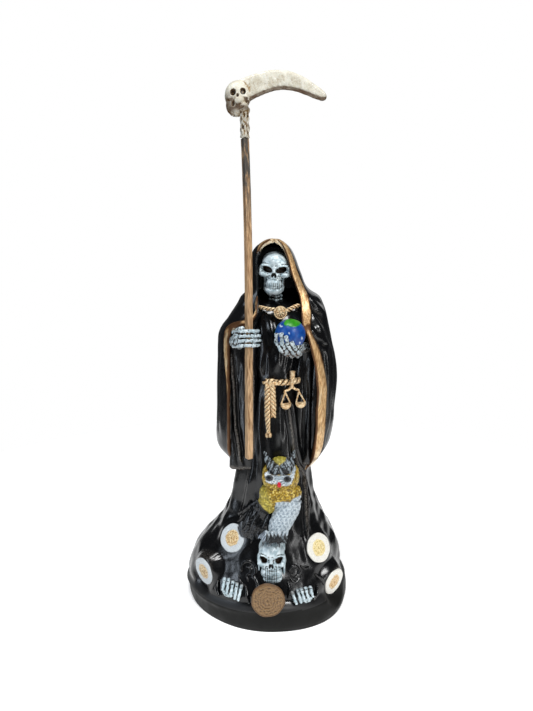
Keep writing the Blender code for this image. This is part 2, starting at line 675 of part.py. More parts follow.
def make_scythe_head():
    """A small skull on a twisted sleeve, with the crescent blade growing from its side."""
    foot = shaft_centre(SHAFT_TOP + FIT_GAP)
    data = bpy.data.curves.new("blade", "CURVE")
    data.dimensions = "2D"
    data.fill_mode = "BOTH"
    data.extrude = 2.4 * MM
    data.bevel_depth = 1.0 * MM
    data.bevel_resolution = 2
    spline = data.splines.new("POLY")
    outline = blade_outline()
    spline.points.add(len(outline) - 1)
    spline.use_cyclic_u = True
    for point, (x, z) in zip(spline.points, outline):
        point.co = (x * MM, z * MM, 0.0, 1.0)
    blade = bpy.data.objects.new("blade_curve", data)
    blade.matrix_world = Matrix.Translation((0, foot.y, 0)) @ Matrix.Rotation(math.pi / 2, 4, "X")
    forms.objects.link(blade)
    pieces = [evaluated(blade, "blade")]
    skull_centre = Vector((-25.8 * MM, foot.y, 467.0 * MM))
    pieces += skull("scythe_skull", skull_centre, 23.5 * MM, 28.0 * MM, 0.0)
    high = Vector((-21.5 * MM, foot.y, 460.0 * MM))
    low = foot - Vector((0, 0, 2 * MM))
    pieces.append(rod("sleeve", [low, (low + high) / 2, high], [0.0036, 0.0036, 0.0042], 4))
    hollows = skull_hollows(skull_centre, 23.5 * MM, 28.0 * MM, 0.0)
    head = fuse("scythe_head", pieces, HEAD_VOXEL, HEAD_FACES, hollows)
    cut_level(head, foot.z)
    return head


remove_start_objects()
statuette = new_collection("santa_muerte_figure")
cutters = new_collection("cutters")
forms = new_collection("forms")

black_gloss = paint("black gloss paint on resin", 0.012, 0.012, 0.013, 0.22)
bronze_wood = paint("bronze paint on a wood strip", 0.36, 0.24, 0.15, 0.55)
ivory_resin = paint("ivory resin", 0.66, 0.62, 0.54, 0.4)

for maker, finish in ((make_figure, black_gloss), (make_shaft, bronze_wood), (make_scythe_head, ivory_resin)):
    node = maker()
    node.data.materials.append(finish)
    node.data.shade_smooth()
    forms.objects.unlink(node)
    statuette.objects.link(node)
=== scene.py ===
"""Looks of a hooded skeleton saint with a scythe: a painted resin statuette, finished round its CAD solids.

Lengths in this script are millimetres until a mesh is written; the frame itself is in metres.
The face looks along -Y, and the underside's middle is the origin.
"""

import math

import bpy
import numpy as np
from mathutils import Matrix, Vector, noise


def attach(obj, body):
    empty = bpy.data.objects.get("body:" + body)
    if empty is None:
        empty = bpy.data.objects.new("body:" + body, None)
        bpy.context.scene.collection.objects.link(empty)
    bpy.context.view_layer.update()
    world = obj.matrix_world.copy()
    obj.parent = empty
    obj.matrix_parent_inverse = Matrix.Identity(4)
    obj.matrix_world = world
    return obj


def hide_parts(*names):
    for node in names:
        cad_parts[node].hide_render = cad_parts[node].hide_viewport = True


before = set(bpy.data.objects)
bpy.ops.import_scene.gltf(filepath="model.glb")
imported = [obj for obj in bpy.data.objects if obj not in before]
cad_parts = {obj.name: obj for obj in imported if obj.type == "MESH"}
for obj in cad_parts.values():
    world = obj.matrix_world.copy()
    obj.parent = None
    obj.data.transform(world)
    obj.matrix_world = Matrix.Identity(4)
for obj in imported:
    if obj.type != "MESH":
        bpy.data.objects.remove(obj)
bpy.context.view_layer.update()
bpy.ops.object.select_all(action="DESELECT")

MM = 0.001
TURN = 2 * math.pi

HEAD = (6.4, -9.0, 320.0)
HEAD_HALF_WIDTH = 15.0
HEAD_HALF_HEIGHT = 20.6
HEAD_ROLL = math.radians(3.6)
GLOBE = (19.5, -48.0, 266.8)
GLOBE_RADIUS = 13.5
BELT_HEIGHT = 219.8
SHAFT_SIDE = 5.3
SHAFT_TURN = math.radians(33.0)
SHAFT_BOTTOM = 156.0
SHAFT_TOP = 434.0
CLOAK_WALL = 4.2

# The photograph's view. Its long side is its height, which Blender fits the sensor's width to.
CAMERA = (-1.4, -515.0, 324.0)
CAMERA_TILT = math.radians(9.25)
PHOTO_HEIGHT_PX = 711.0
FOCAL_LENGTH_PX = 534.0
HOOD_START = 330.0

# Robe: height, middle in x, half width, reach of the front and of the back.
ROBE_ROWS = [
    (-2, -0.2, 79.0, 78.6, 78.6), (5, -0.3, 80.6, 80, 80), (14, -0.5, 79.6, 79.4, 79.4),
    (21, -1.4, 77.4, 77.6, 78), (29, -1.6, 75, 74.6, 75), (38, -0.4, 72.4, 69.4, 71),
    (50, 1.8, 67.8, 62.4, 65), (62, 3.6, 60.2, 56.4, 58), (76, 5.6, 50.4, 50.4, 50.6),
    (90, 6, 43.6, 45.4, 45.4), (106, 5.8, 39, 41.4, 41.6), (126, 5.4, 36, 38.4, 38.6),
    (150, 6.2, 33.4, 36, 36), (180, 6.8, 30.4, 34, 33.4), (206, 7.6, 27.4, 32.6, 31), (222, 8, 26.2, 31, 30),
    (240, 8, 27.4, 31.6, 30), (262, 7.6, 28.6, 30, 30), (280, 7.2, 27, 25.6, 30), (286, 7, 23, 21.5, 28),
    (290, 6.9, 15, 15.5, 22), (292.5, 6.8, 5, 6, 10),
]

# Cloak: height, left and right ends in x, front and back in y, the front edges in x, and how square it is.
CLOAK_ROWS = [
    (129, -25, 36, -31, 40, -22, 31, 2.3), (133, -31, 43, -35, 42, -27, 36.5, 2.3),
    (138, -37, 49, -37.6, 43.4, -31, 40, 2.3), (145, -43.6, 54.6, -39.6, 44.6, -34.4, 42, 2.4),
    (153, -49.8, 59.4, -40.6, 45.4, -36.4, 43.2, 2.4), (162, -51.4, 62.6, -41.2, 45.6, -36.4, 44, 2.4),
    (175, -50.8, 64.8, -41.8, 45.6, -36.4, 44.6, 2.5), (192, -50.2, 65.4, -42.4, 45.2, -36.4, 45, 2.5),
    (214, -49.8, 67.4, -43.2, 44.6, -36.2, 45.2, 2.5), (230, -49.4, 66.8, -44, 44, -36.2, 43.6, 2.5),
    (242, -48.8, 65.0, -45, 43.2, -36, 41.2, 2.5), (254, -48.4, 62.0, -45.6, 42, -35.8, 38.2, 2.5),
    (264, -47.4, 60.0, -45.4, 41, -35.2, 35.2, 2.5), (271, -43.8, 58.6, -43.6, 40, -32, 31.6, 2.5),
    (276, -39.4, 57.6, -38, 39, -17, 30.8, 2.5), (283, -34.6, 56.0, -31, 37.8, -10.4, 30.6, 2.5),
    (291, -29.4, 52.8, -27, 36.4, -9.6, 30.0, 2.6), (298, -25.6, 48.8, -25.4, 34.6, -9.8, 29.0, 2.7),
    (303, -20.0, 41.0, -25, 33.2, -10.2, 27.6, 2.9), (309, -17.2, 35.6, -25, 31.8, -10.6, 25.4, 3.1),
    (320, -17.0, 31.2, -24.6, 30, -11, 21.4, 3.2), (330, -17.2, 27.6, -23.6, 27.6, -11, 19.0, 3.0),
    (338, -16.6, 25.2, -22.6, 24, -8.6, 15.4, 2.8),
]

# Folds down the robe's front: height and width of the ridge, then its course in x and z from the top down.
ROBE_FOLDS = [
    (3.4, 1.5, [(18.6, 204), (19.9, 191.5), (21.3, 180), (23, 169.7), (24.5, 153), (28.1, 140), (32.3, 132.7),
                (34.9, 127), (36.1, 110), (37.1, 78), (39, 60)]),
    (3.0, 1.4, [(30, 204), (31.5, 189), (33.5, 175), (34.9, 157), (37.5, 139), (40.5, 128)]),
    (1.5, 2.6, [(-11.5, 250), (-10.9, 245), (-8.1, 225)]),
    (1.3, 2.2, [(-5.9, 250), (-5.9, 225)]),
    (1.3, 2.0, [(25, 252), (22.2, 241), (19.4, 228)]),
    (1.3, 2.2, [(35.3, 240), (27.7, 219.5)]),
    (1.2, 3.0, [(-9.3, 214), (-9.4, 178), (-6, 145), (-7, 120)]),
    (1.2, 2.6, [(-14.4, 214), (-14.9, 169), (-14, 138), (-22, 95), (-34, 60)]),
    (1.2, 3.0, [(9.5, 214), (10.5, 178), (11, 160)]),
    (1.6, 3.4, [(-23.5, 150), (-26.8, 129), (-31.1, 110), (-36, 90), (-45, 70), (-56, 52)]),
    (1.2, 3.0, [(-14.2, 135), (-18.6, 112), (-25.3, 90), (-31, 78)]),
    (1.5, 3.0, [(-1.8, 286), (2.3, 269), (5.6, 257), (5, 244)]),
    (1.2, 2.6, [(-6.5, 284), (-4.5, 268), (-4, 256)]),
    (1.0, 2.4, [(12, 262), (10, 250), (8, 230)]),
]

# Folds round the robe's sides and back: degrees from the front, half width in degrees, how far each stands
# out, and the heights where it starts and ends.
ROBE_SIDE_FOLDS = [
    (-70, 7, 2.2, 20, 150), (82, 7, 2.2, 20, 150), (58, 6, 1.8, 26, 170), (100, 6, 1.6, 16, 140),
    (112, 8, 2.4, 14, 140), (140, 7, 2.8, 12, 140), (168, 7, 2.6, 12, 140), (-166, 7, 2.8, 12, 140),
    (-74, 36, 4.2, 2, 74), (-136, 8, 2.6, 12, 140), (-104, 7, 2.4, 14, 140), (-152, 5, 1.6, 20, 140),
    (154, 5, 1.6, 20, 140),
]

# Folds on the cloak's front: as on the robe.
CLOAK_FOLDS = [
    (2.2, 1.8, [(52.6, 250), (54.4, 244), (55.2, 234), (55.0, 204), (54.4, 177), (51.6, 154), (47.6, 142)]),
    (1.6, 1.7, [(58.2, 252), (59.0, 240), (59.0, 212), (57.8, 190), (55.8, 168)]),
    (1.7, 2.4, [(31, 301), (37, 297), (44, 291.5), (51.6, 283.7), (55.5, 270)]),
    (1.9, 2.4, [(32, 290), (39.4, 283), (46.2, 273), (52.5, 259.5), (56.5, 250)]),
    (1.7, 2.2, [(33.5, 274), (41, 267), (48, 261), (54, 255), (59, 246)]),
    (1.3, 2.0, [(38, 261), (47, 256.5), (53, 250), (57, 240)]),
    (1.4, 2.8, [(-18.2, 300), (-26.7, 289), (-35, 278), (-40.4, 267)]),
    (1.2, 2.4, [(-19.7, 290), (-25, 282), (-29.6, 276)]),
    (1.0, 2.2, [(-41, 255), (-43, 232), (-43.4, 205), (-44, 180), (-43, 160)]),
]


def rise(value, start, end):
    """0 before start, 1 after end, and a smooth ramp between."""
    share = np.clip((value - start) / (end - start), 0.0, 1.0)
    return share * share * (3 - 2 * share)


def along(rows, height):
    """The columns of a table at some heights, on a smooth curve through its rows."""
    table = np.array(rows, float)
    knots = table[:, 0]
    height = np.clip(height, knots[0], knots[-1])
    low = np.clip(np.searchsorted(knots, height, side="right") - 1, 0, len(knots) - 2)
    before, after = np.maximum(low - 1, 0), np.minimum(low + 2, len(knots) - 1)
    step = (knots[low + 1] - knots[low])[..., None]
    share = (height - knots[low])[..., None] / step
    slope_low = (table[low + 1] - table[before]) / (knots[low + 1] - knots[before])[..., None] * step
    slope_high = (table[after] - table[low]) / (knots[after] - knots[low])[..., None] * step
    cubic = 2 * table[low] - 2 * table[low + 1] + slope_low + slope_high
    square = 3 * table[low + 1] - 3 * table[low] - 2 * slope_low - slope_high
    values = ((cubic * share + square) * share + slope_low) * share + table[low]
    return [values[..., k] for k in range(1, table.shape[1])]


def power_circle(angle, power):
    """A unit circle that turns squarer as the power grows past 2; angle 0 is the front, -Y."""
    across, ahead = np.sin(angle), -np.cos(angle)
    reach = (np.abs(across) ** power + np.abs(ahead) ** power) ** (-1.0 / power)
    return across * reach, ahead * reach


def lumps(points, size, seed):
    """Soft bumps of about one size in millimetres, from -1 to 1, the same each run."""
    chance = np.random.default_rng(seed)
    total = 0.0
    for _ in range(9):
        way = chance.normal(size=3)
        way *= TURN / (np.linalg.norm(way) * size * chance.uniform(0.7, 1.5))
        total = total + np.sin(points @ way + chance.uniform(0, TURN))
    return total / 4.0


def speckle(points, size, stretch=(1.0, 1.0, 1.0)):
    """Irregular grains of about one size in millimetres, from -1 to 1."""
    places = points / (np.array(stretch) * size)
    return np.array([noise.noise(place) for place in places.tolist()]) * 1.6


def ridge(x, z, course):
    """How far points lie sideways from a fold's course, and how fully the fold shows at their height."""
    path = np.array(course[::-1], float)
    lean = np.interp(z + 1, path[:, 1], path[:, 0]) - np.interp(z - 1, path[:, 1], path[:, 0])
    away = (x - np.interp(z, path[:, 1], path[:, 0])) / np.sqrt(1 + lean ** 2 / 4)
    low, high = path[0, 1], path[-1, 1]
    fade = min(14.0, (high - low) / 2.5)
    return away, rise(z, low - 2, low + fade) * (1 - rise(z, high - fade, high + 2))


def fold_height(x, z, folds):
    """The sum of some folds: a round ridge with a narrow groove on each side."""
    total = 0.0
    for tall, wide, course in folds:
        away, full = ridge(x, z, course)
        share = away / wide
        groove = 0.35 * np.exp(-((np.abs(share) - 1.9) / 0.8) ** 2)
        total = total + tall * full * (np.exp(-share ** 2) - groove)
    return total


def read_points(piece):
    values = np.empty(len(piece.data.vertices) * 3)
    piece.data.vertices.foreach_get("co", values)
    return values.reshape(-1, 3) / MM


def write_points(piece, points):
    piece.data.vertices.foreach_set("co", (points * MM).ravel())
    piece.data.update()


def mark(piece, name, values):
    """Keeps one number, or one colour, for each vertex, for the paint to read."""
    values = np.asarray(values, np.float32)
    if values.ndim == 1:
        piece.data.attributes.new(name, "FLOAT", "POINT").data.foreach_set("value", values)
    else:
        layer = piece.data.attributes.new(name, "FLOAT_COLOR", "POINT")
        layer.data.foreach_set("color", np.c_[values, np.ones(len(values))].astype(np.float32).ravel())


def normals_of(piece):
    values = np.empty(len(piece.data.vertices) * 3)
    piece.data.vertices.foreach_get("normal", values)
    return values.reshape(-1, 3)


def hollow_depth(piece, passes):
    """How deep each vertex lies under its smoothed surroundings; negative on ridges."""
    points = read_points(piece)
    ends = np.empty(len(piece.data.edges) * 2, np.int32)
    piece.data.edges.foreach_get("vertices", ends)
    ends = ends.reshape(-1, 2)
    count = np.maximum(np.bincount(ends.ravel(), minlength=len(points)), 1)
    soft = points.copy()
    for _ in range(passes):
        for axis in range(3):
            near = np.bincount(ends[:, 0], soft[ends[:, 1], axis], len(points))
            near += np.bincount(ends[:, 1], soft[ends[:, 0], axis], len(points))
            soft[:, axis] = 0.5 * soft[:, axis] + 0.5 * near / count
    return ((soft - points) * normals_of(piece)).sum(1)


def edit(piece, *steps):
    """Runs edit-mode operators on all of a piece; each step is an operator and its settings."""
    bpy.ops.object.select_all(action="DESELECT")
    piece.select_set(True)
    bpy.context.view_layer.objects.active = piece
    bpy.ops.object.mode_set(mode="EDIT")
    bpy.ops.mesh.select_all(action="SELECT")
    for operator, settings in steps:
        operator(**settings)
    bpy.ops.object.mode_set(mode="OBJECT")


def close_up(piece, distance=0.02):
    """Merges the points of a seam or pole and turns all faces outwards."""
    edit(piece, (bpy.ops.mesh.remove_doubles, {"threshold": distance * MM}),
         (bpy.ops.mesh.normals_make_consistent, {"inside": False}))


def apply(piece, kind, **settings):
    """Adds a modifier with its settings and applies it."""
    bpy.ops.object.select_all(action="DESELECT")
    piece.select_set(True)
    bpy.context.view_layer.objects.active = piece
    bpy.ops.object.modifier_add(type=kind)
    modifier = piece.modifiers[-1]
    for key, value in settings.items():
        setattr(modifier, key, value)
    bpy.ops.object.modifier_apply(modifier=modifier.name)


def sheet(columns, rows, place):
    """A grid laid on a surface: place gets shares across and up, 0 to 1, and gives points."""
    bpy.ops.mesh.primitive_grid_add(x_subdivisions=columns, y_subdivisions=rows, size=1.0)
    piece = bpy.context.object
    share = read_points(piece) * MM + 0.5
    write_points(piece, place(share[:, 0], share[:, 1]))
    return piece


def join(pieces):
    bpy.ops.object.select_all(action="DESELECT")
    for piece in pieces:
        piece.select_set(True)
    bpy.context.view_layer.objects.active = pieces[0]
    bpy.ops.object.join()
    return bpy.context.object


def fuse(pieces, voxel, relax=2):
    """One skin round many overlapping forms."""
    piece = join(pieces)
    apply(piece, "REMESH", mode="VOXEL", voxel_size=voxel * MM)
    if relax:
        apply(piece, "SMOOTH", factor=0.5, iterations=relax)
    return piece


def ball(centre, radii, turn=(0.0, 0.0, 0.0), fine=16):
    """An ellipsoid: its radii along its own axes, turned by degrees about X, Y and Z."""
    bpy.ops.mesh.primitive_uv_sphere_add(segments=2 * fine, ring_count=fine, radius=1.0)
    piece = bpy.context.object
    spin = Matrix.Rotation(math.radians(turn[2]), 3, "Z") @ Matrix.Rotation(math.radians(turn[1]), 3, "Y")
    spin = np.array(spin @ Matrix.Rotation(math.radians(turn[0]), 3, "X"))
    write_points(piece, (read_points(piece) * MM * np.array(radii)) @ spin.T + np.array(centre))
    return piece


def rod(points, radii, sides=2, steps=5):
    """A round rod on a smooth curve through the points, with its own radius at each of them."""
    bpy.ops.curve.primitive_nurbs_path_add()
    piece = bpy.context.object
    curve = piece.data
    curve.splines.clear()
    spline = curve.splines.new("BEZIER")
    spline.bezier_points.add(len(points) - 1)
    for point, place, radius in zip(spline.bezier_points, points, radii):
        point.co = Vector([value * MM for value in place])
        point.radius = radius
        point.handle_left_type = point.handle_right_type = "AUTO"
    curve.bevel_depth = MM
    curve.bevel_resolution = sides
    curve.resolution_u = steps
    curve.use_fill_caps = True
    bpy.ops.object.convert(target="MESH")
    return bpy.context.object


def finish(piece, name, materials, node="figure"):
    """Names a piece, paints it, and seats it on the object in its CAD node's stead."""
    piece.name = name
    piece.data.name = name
    piece.data.materials.clear()
    for material in materials if isinstance(materials, list) else [materials]:
        piece.data.materials.append(material)
    piece.data.shade_smooth()
    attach(piece, "root")
    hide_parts(node)
    return piece


def linear(code):
    """The linear colour of an sRGB hex code."""
    values = [int(code[i:i + 2], 16) / 255 for i in (1, 3, 5)]
    return [v / 12.92 if v <= 0.04045 else ((v + 0.055) / 1.055) ** 2.4 for v in values] + [1.0]


def add(tree, kind, inputs=None, **settings):
    """Adds a node: settings are its properties; an input is a value or another node's socket."""
    item = tree.nodes.new(kind)
    for key, value in settings.items():
        setattr(item, key, value)
    for key, value in (inputs or {}).items():
        if isinstance(value, bpy.types.NodeSocket):
            tree.links.new(value, item.inputs[key])
        else:
            item.inputs[key].default_value = value
    return item


def new_material(name, **values):
    """A material whose Principled shader has these plain values."""
    material = bpy.data.materials.new(name)
    material.use_nodes = True
    tree = material.node_tree
    shader = tree.nodes["Principled BSDF"]
    for key, value in values.items():
        shader.inputs[key.replace("_", " ")].default_value = value
    return material, tree, shader


def grain(tree, scale, stretch=(1, 1, 1), detail=3.0, roughness=0.55):
    """Noise on Object coordinates, from 0 to 1; the scale is in pattern repeats to the metre."""
    place = add(tree, "ShaderNodeTexCoord")
    turn = add(tree, "ShaderNodeMapping", {"Vector": place.outputs["Object"], "Scale": stretch})
    inputs = {"Vector": turn.outputs["Vector"], "Scale": scale, "Detail": detail, "Roughness": roughness}
    return add(tree, "ShaderNodeTexNoise", inputs).outputs["Fac"]


def ramp(tree, value, start, end, low=0.0, high=1.0, kind="SMOOTHSTEP"):
    """Low below start, high above end."""
    inputs = {"Value": value, "From Min": start, "From Max": end, "To Min": low, "To Max": high}
    return add(tree, "ShaderNodeMapRange", inputs, interpolation_type=kind).outputs["Result"]


def blend(tree, share, first, second, mode="MIX"):
    """A colour mixed from two, hex codes or sockets."""
    first = linear(first) if isinstance(first, str) else first
    second = linear(second) if isinstance(second, str) else second
    inputs = {"Factor": share, "A": first, "B": second}
    node = tree.nodes.new("ShaderNodeMix")
    node.data_type = "RGBA"
    node.blend_type = mode
    for key, index in (("Factor", 0), ("A", 6), ("B", 7)):
        if isinstance(inputs[key], bpy.types.NodeSocket):
            tree.links.new(inputs[key], node.inputs[index])
        else:
            node.inputs[index].default_value = inputs[key]
    return node.outputs[2]


def maths(tree, operation, first, second):
    return add(tree, "ShaderNodeMath", {0: first, 1: second}, operation=operation).outputs[0]


def kept(tree, name):
    """The number kept for each vertex under this name."""
    return add(tree, "ShaderNodeAttribute", attribute_name=name).outputs["Fac"]


def relief(tree, shader, height, distance_mm, strength=1.0):
    """Fine relief too small for the mesh, such as brush marks."""
    inputs = {"Height": height, "Distance": distance_mm * MM, "Strength": strength}
    tree.links.new(add(tree, "ShaderNodeBump", inputs).outputs["Normal"], shader.inputs["Normal"])


def black_enamel():
    """Gloss black enamel brushed over cast resin, with gold paint on its borders.

    The enamel gives deep black with sharp, slightly wavy reflections. Handling has worn some ridges to a
    dull brownish silver, and the same brownish silver is painted as a sheen along the robe's fold crests
    and on the right sleeve. The gold paint is a warm tan with paler and browner brush streaks along the
    border, and a painted highlight in cream where it faces up. The base's band has a duller enamel of its
    own.
    """
    material, tree, shader = new_material("gloss_black_enamel", IOR=1.5)
    cloud = grain(tree, 60)
    fine = grain(tree, 900, detail=5)
    black = blend(tree, cloud, "#040405", "#0a0b0d")
    # One kept share gives both the wear on ridges and a painted brownish-silver sheen.
    wear_and_sheen = maths(tree, "MULTIPLY", kept(tree, "wear_and_painted_sheen"), ramp(tree, fine, 0.35, 0.65))
    dark = blend(tree, wear_and_sheen, black, "#8d857c")
    wander = maths(tree, "ADD", kept(tree, "border"),
                   ramp(tree, grain(tree, 420), 0.2, 0.8, -0.35, 0.35, "LINEAR"))
    gold = ramp(tree, wander, 0.15, 0.35)
    streak = grain(tree, 1500, (1, 1, 0.12), detail=4)
    tan = blend(tree, ramp(tree, streak, 0.34, 0.66), "#9a6b3a", "#ecc893")
    tan = blend(tree, ramp(tree, grain(tree, 160, (1, 1, 0.3)), 0.5, 0.72, 0.0, 0.75), tan, "#f6e2b8")
    # Painted highlight: the gold border turns pale cream where its surface faces up.
    cream = maths(tree, "MULTIPLY", kept(tree, "cream"), ramp(tree, streak, 0.25, 0.55, 0.70, 1.0))
    tan = blend(tree, cream, tan, "#fdf1d6")
    tan = blend(tree, ramp(tree, kept(tree, "hollow"), 0.02, 0.16), tan, "#5d3d22")
    tree.links.new(blend(tree, gold, dark, tan), shader.inputs["Base Color"])
    shine = ramp(tree, fine, 0.3, 0.7, 0.16, 0.27)
    shine = maths(tree, "ADD", shine, maths(tree, "MULTIPLY", wear_and_sheen, 0.25))
    place = add(tree, "ShaderNodeTexCoord")
    high = add(tree, "ShaderNodeSeparateXYZ", {"Vector": place.outputs["Object"]}).outputs["Z"]
    shine = maths(tree, "MAXIMUM", shine, ramp(tree, high, 0.019, 0.028, 0.60, 0.0))
    rough = add(tree, "ShaderNodeMix", {0: gold, 2: shine, 3: 0.46}).outputs[0]
    tree.links.new(rough, shader.inputs["Roughness"])
    metal = maths(tree, "ADD", maths(tree, "MULTIPLY", gold, 0.55), maths(tree, "MULTIPLY", wear_and_sheen, 0.5))
    tree.links.new(metal, shader.inputs["Metallic"])
    relief(tree, shader, grain(tree, 320, (1, 1, 0.4), detail=4), 0.07)
    return material


def base_enamel():
    """Dull black enamel on the base's band, flatter than the gloss above it."""
    material, tree, shader = new_material("dull_black_base_enamel", IOR=1.3)
    cloud = grain(tree, 120, detail=4)
    tree.links.new(blend(tree, cloud, "#080807", "#11110f"), shader.inputs["Base Color"])
    tree.links.new(ramp(tree, cloud, 0.3, 0.7, 0.5, 0.65), shader.inputs["Roughness"])
    relief(tree, shader, grain(tree, 500, detail=4), 0.08)
    return material


def bone_paint():
    """Silver-white enamel with a black wash: pale, faintly blue and pearly on ridges, dark in hollows."""
    material, tree, shader = new_material("silver_white_bone_enamel", IOR=1.45)
    cloud = grain(tree, 300, detail=4)
    pale = blend(tree, ramp(tree, cloud, 0.3, 0.7), "#9db2ba", "#dbe7eb")
    wash = maths(tree, "ADD", kept(tree, "hollow"),
                 ramp(tree, grain(tree, 1100, detail=4), 0.35, 0.75, -0.03, 0.07))
    shade = blend(tree, ramp(tree, wash, 0.0, 0.13), pale, "#4c504d")
    dark = blend(tree, ramp(tree, wash, 0.10, 0.24), shade, "#110d0a")
    # Brown where a piece keeps a share for it: its own brown tones, and painted shade in brown, as under the
    # cheekbones and towards the bottom of the hands.
    brown = maths(tree, "MULTIPLY", kept(tree, "stain_and_painted_shade"), ramp(tree, grain(tree, 500), 0.3, 0.6, 0.5, 1.0))
    tree.links.new(blend(tree, brown, dark, "#452c17"), shader.inputs["Base Color"])
    tree.links.new(ramp(tree, cloud, 0.3, 0.7, 0.34, 0.5), shader.inputs["Roughness"])
    tree.links.new(ramp(tree, wash, 0.0, 0.2, 0.25, 0.0), shader.inputs["Metallic"])
    relief(tree, shader, grain(tree, 1400, detail=5), 0.12)
    return material


def gold_paint():
    """Brass-gold hobby paint over cast relief: warm cream on ridges, brown where it is thin in hollows."""
    material, tree, shader = new_material("brass_gold_paint", IOR=1.45)
    cloud = grain(tree, 700, detail=4)
    light = blend(tree, ramp(tree, cloud, 0.3, 0.7), "#c08e56", "#f8e6bf")
    deep = blend(tree, ramp(tree, kept(tree, "hollow"), -0.02, 0.12), light, "#6b4824")
    deep = blend(tree, ramp(tree, kept(tree, "hollow"), 0.10, 0.26), deep, "#1d120a")
    tree.links.new(deep, shader.inputs["Base Color"])
    shader.inputs["Metallic"].default_value = 0.35
    tree.links.new(ramp(tree, cloud, 0.2, 0.8, 0.3, 0.48), shader.inputs["Roughness"])
    relief(tree, shader, grain(tree, 1600, detail=4), 0.08)
    return material


def relief_enamel():
    """Hobby enamels brushed on relief, each spot in its own colour, with a thin black wash in hollows."""
    material, tree, shader = new_material("brushed_hobby_enamels", IOR=1.45)
    colour = add(tree, "ShaderNodeAttribute", attribute_name="paint").outputs["Color"]
    cloud = grain(tree, 800, detail=4)
    speck = grain(tree, 1700, detail=3, roughness=0.7)
    grainy = kept(tree, "grainy")
    low = maths(tree, "MULTIPLY", grainy, ramp(tree, speck, 0.50, 0.30, 0.0, 0.5))
    high = maths(tree, "MULTIPLY", grainy, ramp(tree, speck, 0.54, 0.70, 0.0, 0.5))
    worn = blend(tree, low, colour, "#000000")
    lit = blend(tree, high, worn, colour, "ADD")
    wash = ramp(tree, kept(tree, "hollow"), 0.03, 0.22, 0.0, 0.85)
    tree.links.new(blend(tree, wash, lit, "#100e0c"), shader.inputs["Base Color"])
    tree.links.new(ramp(tree, cloud, 0.2, 0.8, 0.28, 0.44), shader.inputs["Roughness"])
    relief(tree, shader, maths(tree, "MULTIPLY", grainy, speck), 0.22)
    return material


def ivory_resin():
    """Ivory resin cast with fine glitter: cream with pale sparks, browned by a wash in hollows,
    and with painted shade in brown below and on the small skull's lower left.
    """
    material, tree, shader = new_material("ivory_glitter_resin", IOR=1.5, Subsurface_Weight=0.08)
    shader.inputs["Subsurface Radius"].default_value = (0.004, 0.003, 0.002)
    cloud = grain(tree, 160, detail=4)
    cream = blend(tree, ramp(tree, cloud, 0.3, 0.7), "#c3bca8", "#dfdbcc")
    spark = ramp(tree, grain(tree, 2600, detail=2), 0.60, 0.70)
    cream = blend(tree, spark, cream, "#fbfbf6")
    wash = maths(tree, "ADD", kept(tree, "hollow"),
                 ramp(tree, grain(tree, 700, detail=4), 0.3, 0.8, -0.05, 0.10))
    brown = blend(tree, ramp(tree, wash, 0.0, 0.18), cream, "#94784c")
    brown = blend(tree, ramp(tree, wash, 0.22, 0.5), brown, "#2f1f10")
    # Brown from the kept share: painted shade on the underside and the lower skull, and the sleeve's own
    # brown.
    stain_and_painted_shade = maths(tree, "MULTIPLY", kept(tree, "stain_and_painted_shade"), ramp(tree, cloud, 0.3, 0.6, 0.7, 1.0))
    tree.links.new(blend(tree, stain_and_painted_shade, brown, "#553a1c"), shader.inputs["Base Color"])
    tree.links.new(ramp(tree, spark, 0.0, 1.0, 0.42, 0.15), shader.inputs["Roughness"])
    relief(tree, shader, grain(tree, 900, detail=5), 0.15)
    return material


def bronzed_wood():
    """A wood strip brushed with bronze paint: tan, with darker grain along it and grey wear near the top."""
    material, tree, shader = new_material("bronze_painted_wood_strip", IOR=1.45)
    fibre = grain(tree, 1100, (1, 1, 0.035), detail=5)
    patch = grain(tree, 90, (1, 1, 0.35), detail=4)
    tan = blend(tree, ramp(tree, fibre, 0.3, 0.7), "#75522f", "#e0bb90")
    tan = blend(tree, ramp(tree, patch, 0.45, 0.75, 0.0, 0.7), tan, "#ae8763")
    worn = maths(tree, "MULTIPLY", kept(tree, "worn"),
                 ramp(tree, grain(tree, 260, (1, 1, 0.2), detail=5), 0.34, 0.52))
    tree.links.new(blend(tree, worn, tan, "#4a453f"), shader.inputs["Base Color"])
    shader.inputs["Metallic"].default_value = 0.25
    tree.links.new(ramp(tree, fibre, 0.3, 0.7, 0.62, 0.42), shader.inputs["Roughness"])
    relief(tree, shader, fibre, 0.15)
    return material


def robe_swell(angle):
    degrees = np.degrees(angle)
    return 4.4 * np.exp(-((degrees - 42) / 26) ** 2) - 1.6 * np.exp(-((degrees + 38) / 26) ** 2)


def robe_point(angle, height):
    """The robe's skin without its fine folds; the angle is 0 at the front and grows towards +X."""
    angle = np.asarray(angle, float)
    height = np.asarray(height, float) + 0 * angle
    centre, half, front, back = along(ROBE_ROWS, height)
    across, ahead = power_circle(angle, 2.0 + 0.15 * rise(height, 40.0, 80.0))
    grow = robe_swell(angle) * (1 - rise(height, 4.0, 26.0))
    for place, width, tall, low, high in ROBE_SIDE_FOLDS:
        away = (np.degrees(angle) - place + 180.0) % 360.0 - 180.0
        grow = grow + tall * rise(height, low, low + 25) * (1 - rise(height, high - 25, high)) \
            * np.exp(-(away / width) ** 2)
    depth = np.where(ahead < 0, front, back)
    return np.stack([centre + across * (half + grow), ahead * (depth + grow), height], -1)


def robe_angle(x, height):
    """The angle at which the robe's front has this x."""
    low, high = -math.pi / 2, math.pi / 2
    for _ in range(24):
        middle = (low + high) / 2
        if robe_point(middle, height)[0] < x:
            low = middle
        else:
            high = middle
    return low


def on_robe(x, height, lift=0.0):
    """The point on the robe's front at this x and height, lifted out along the skin's normal."""
    angle = robe_angle(x, height)
    return robe_point(angle, height) + robe_normal(angle, height) * lift


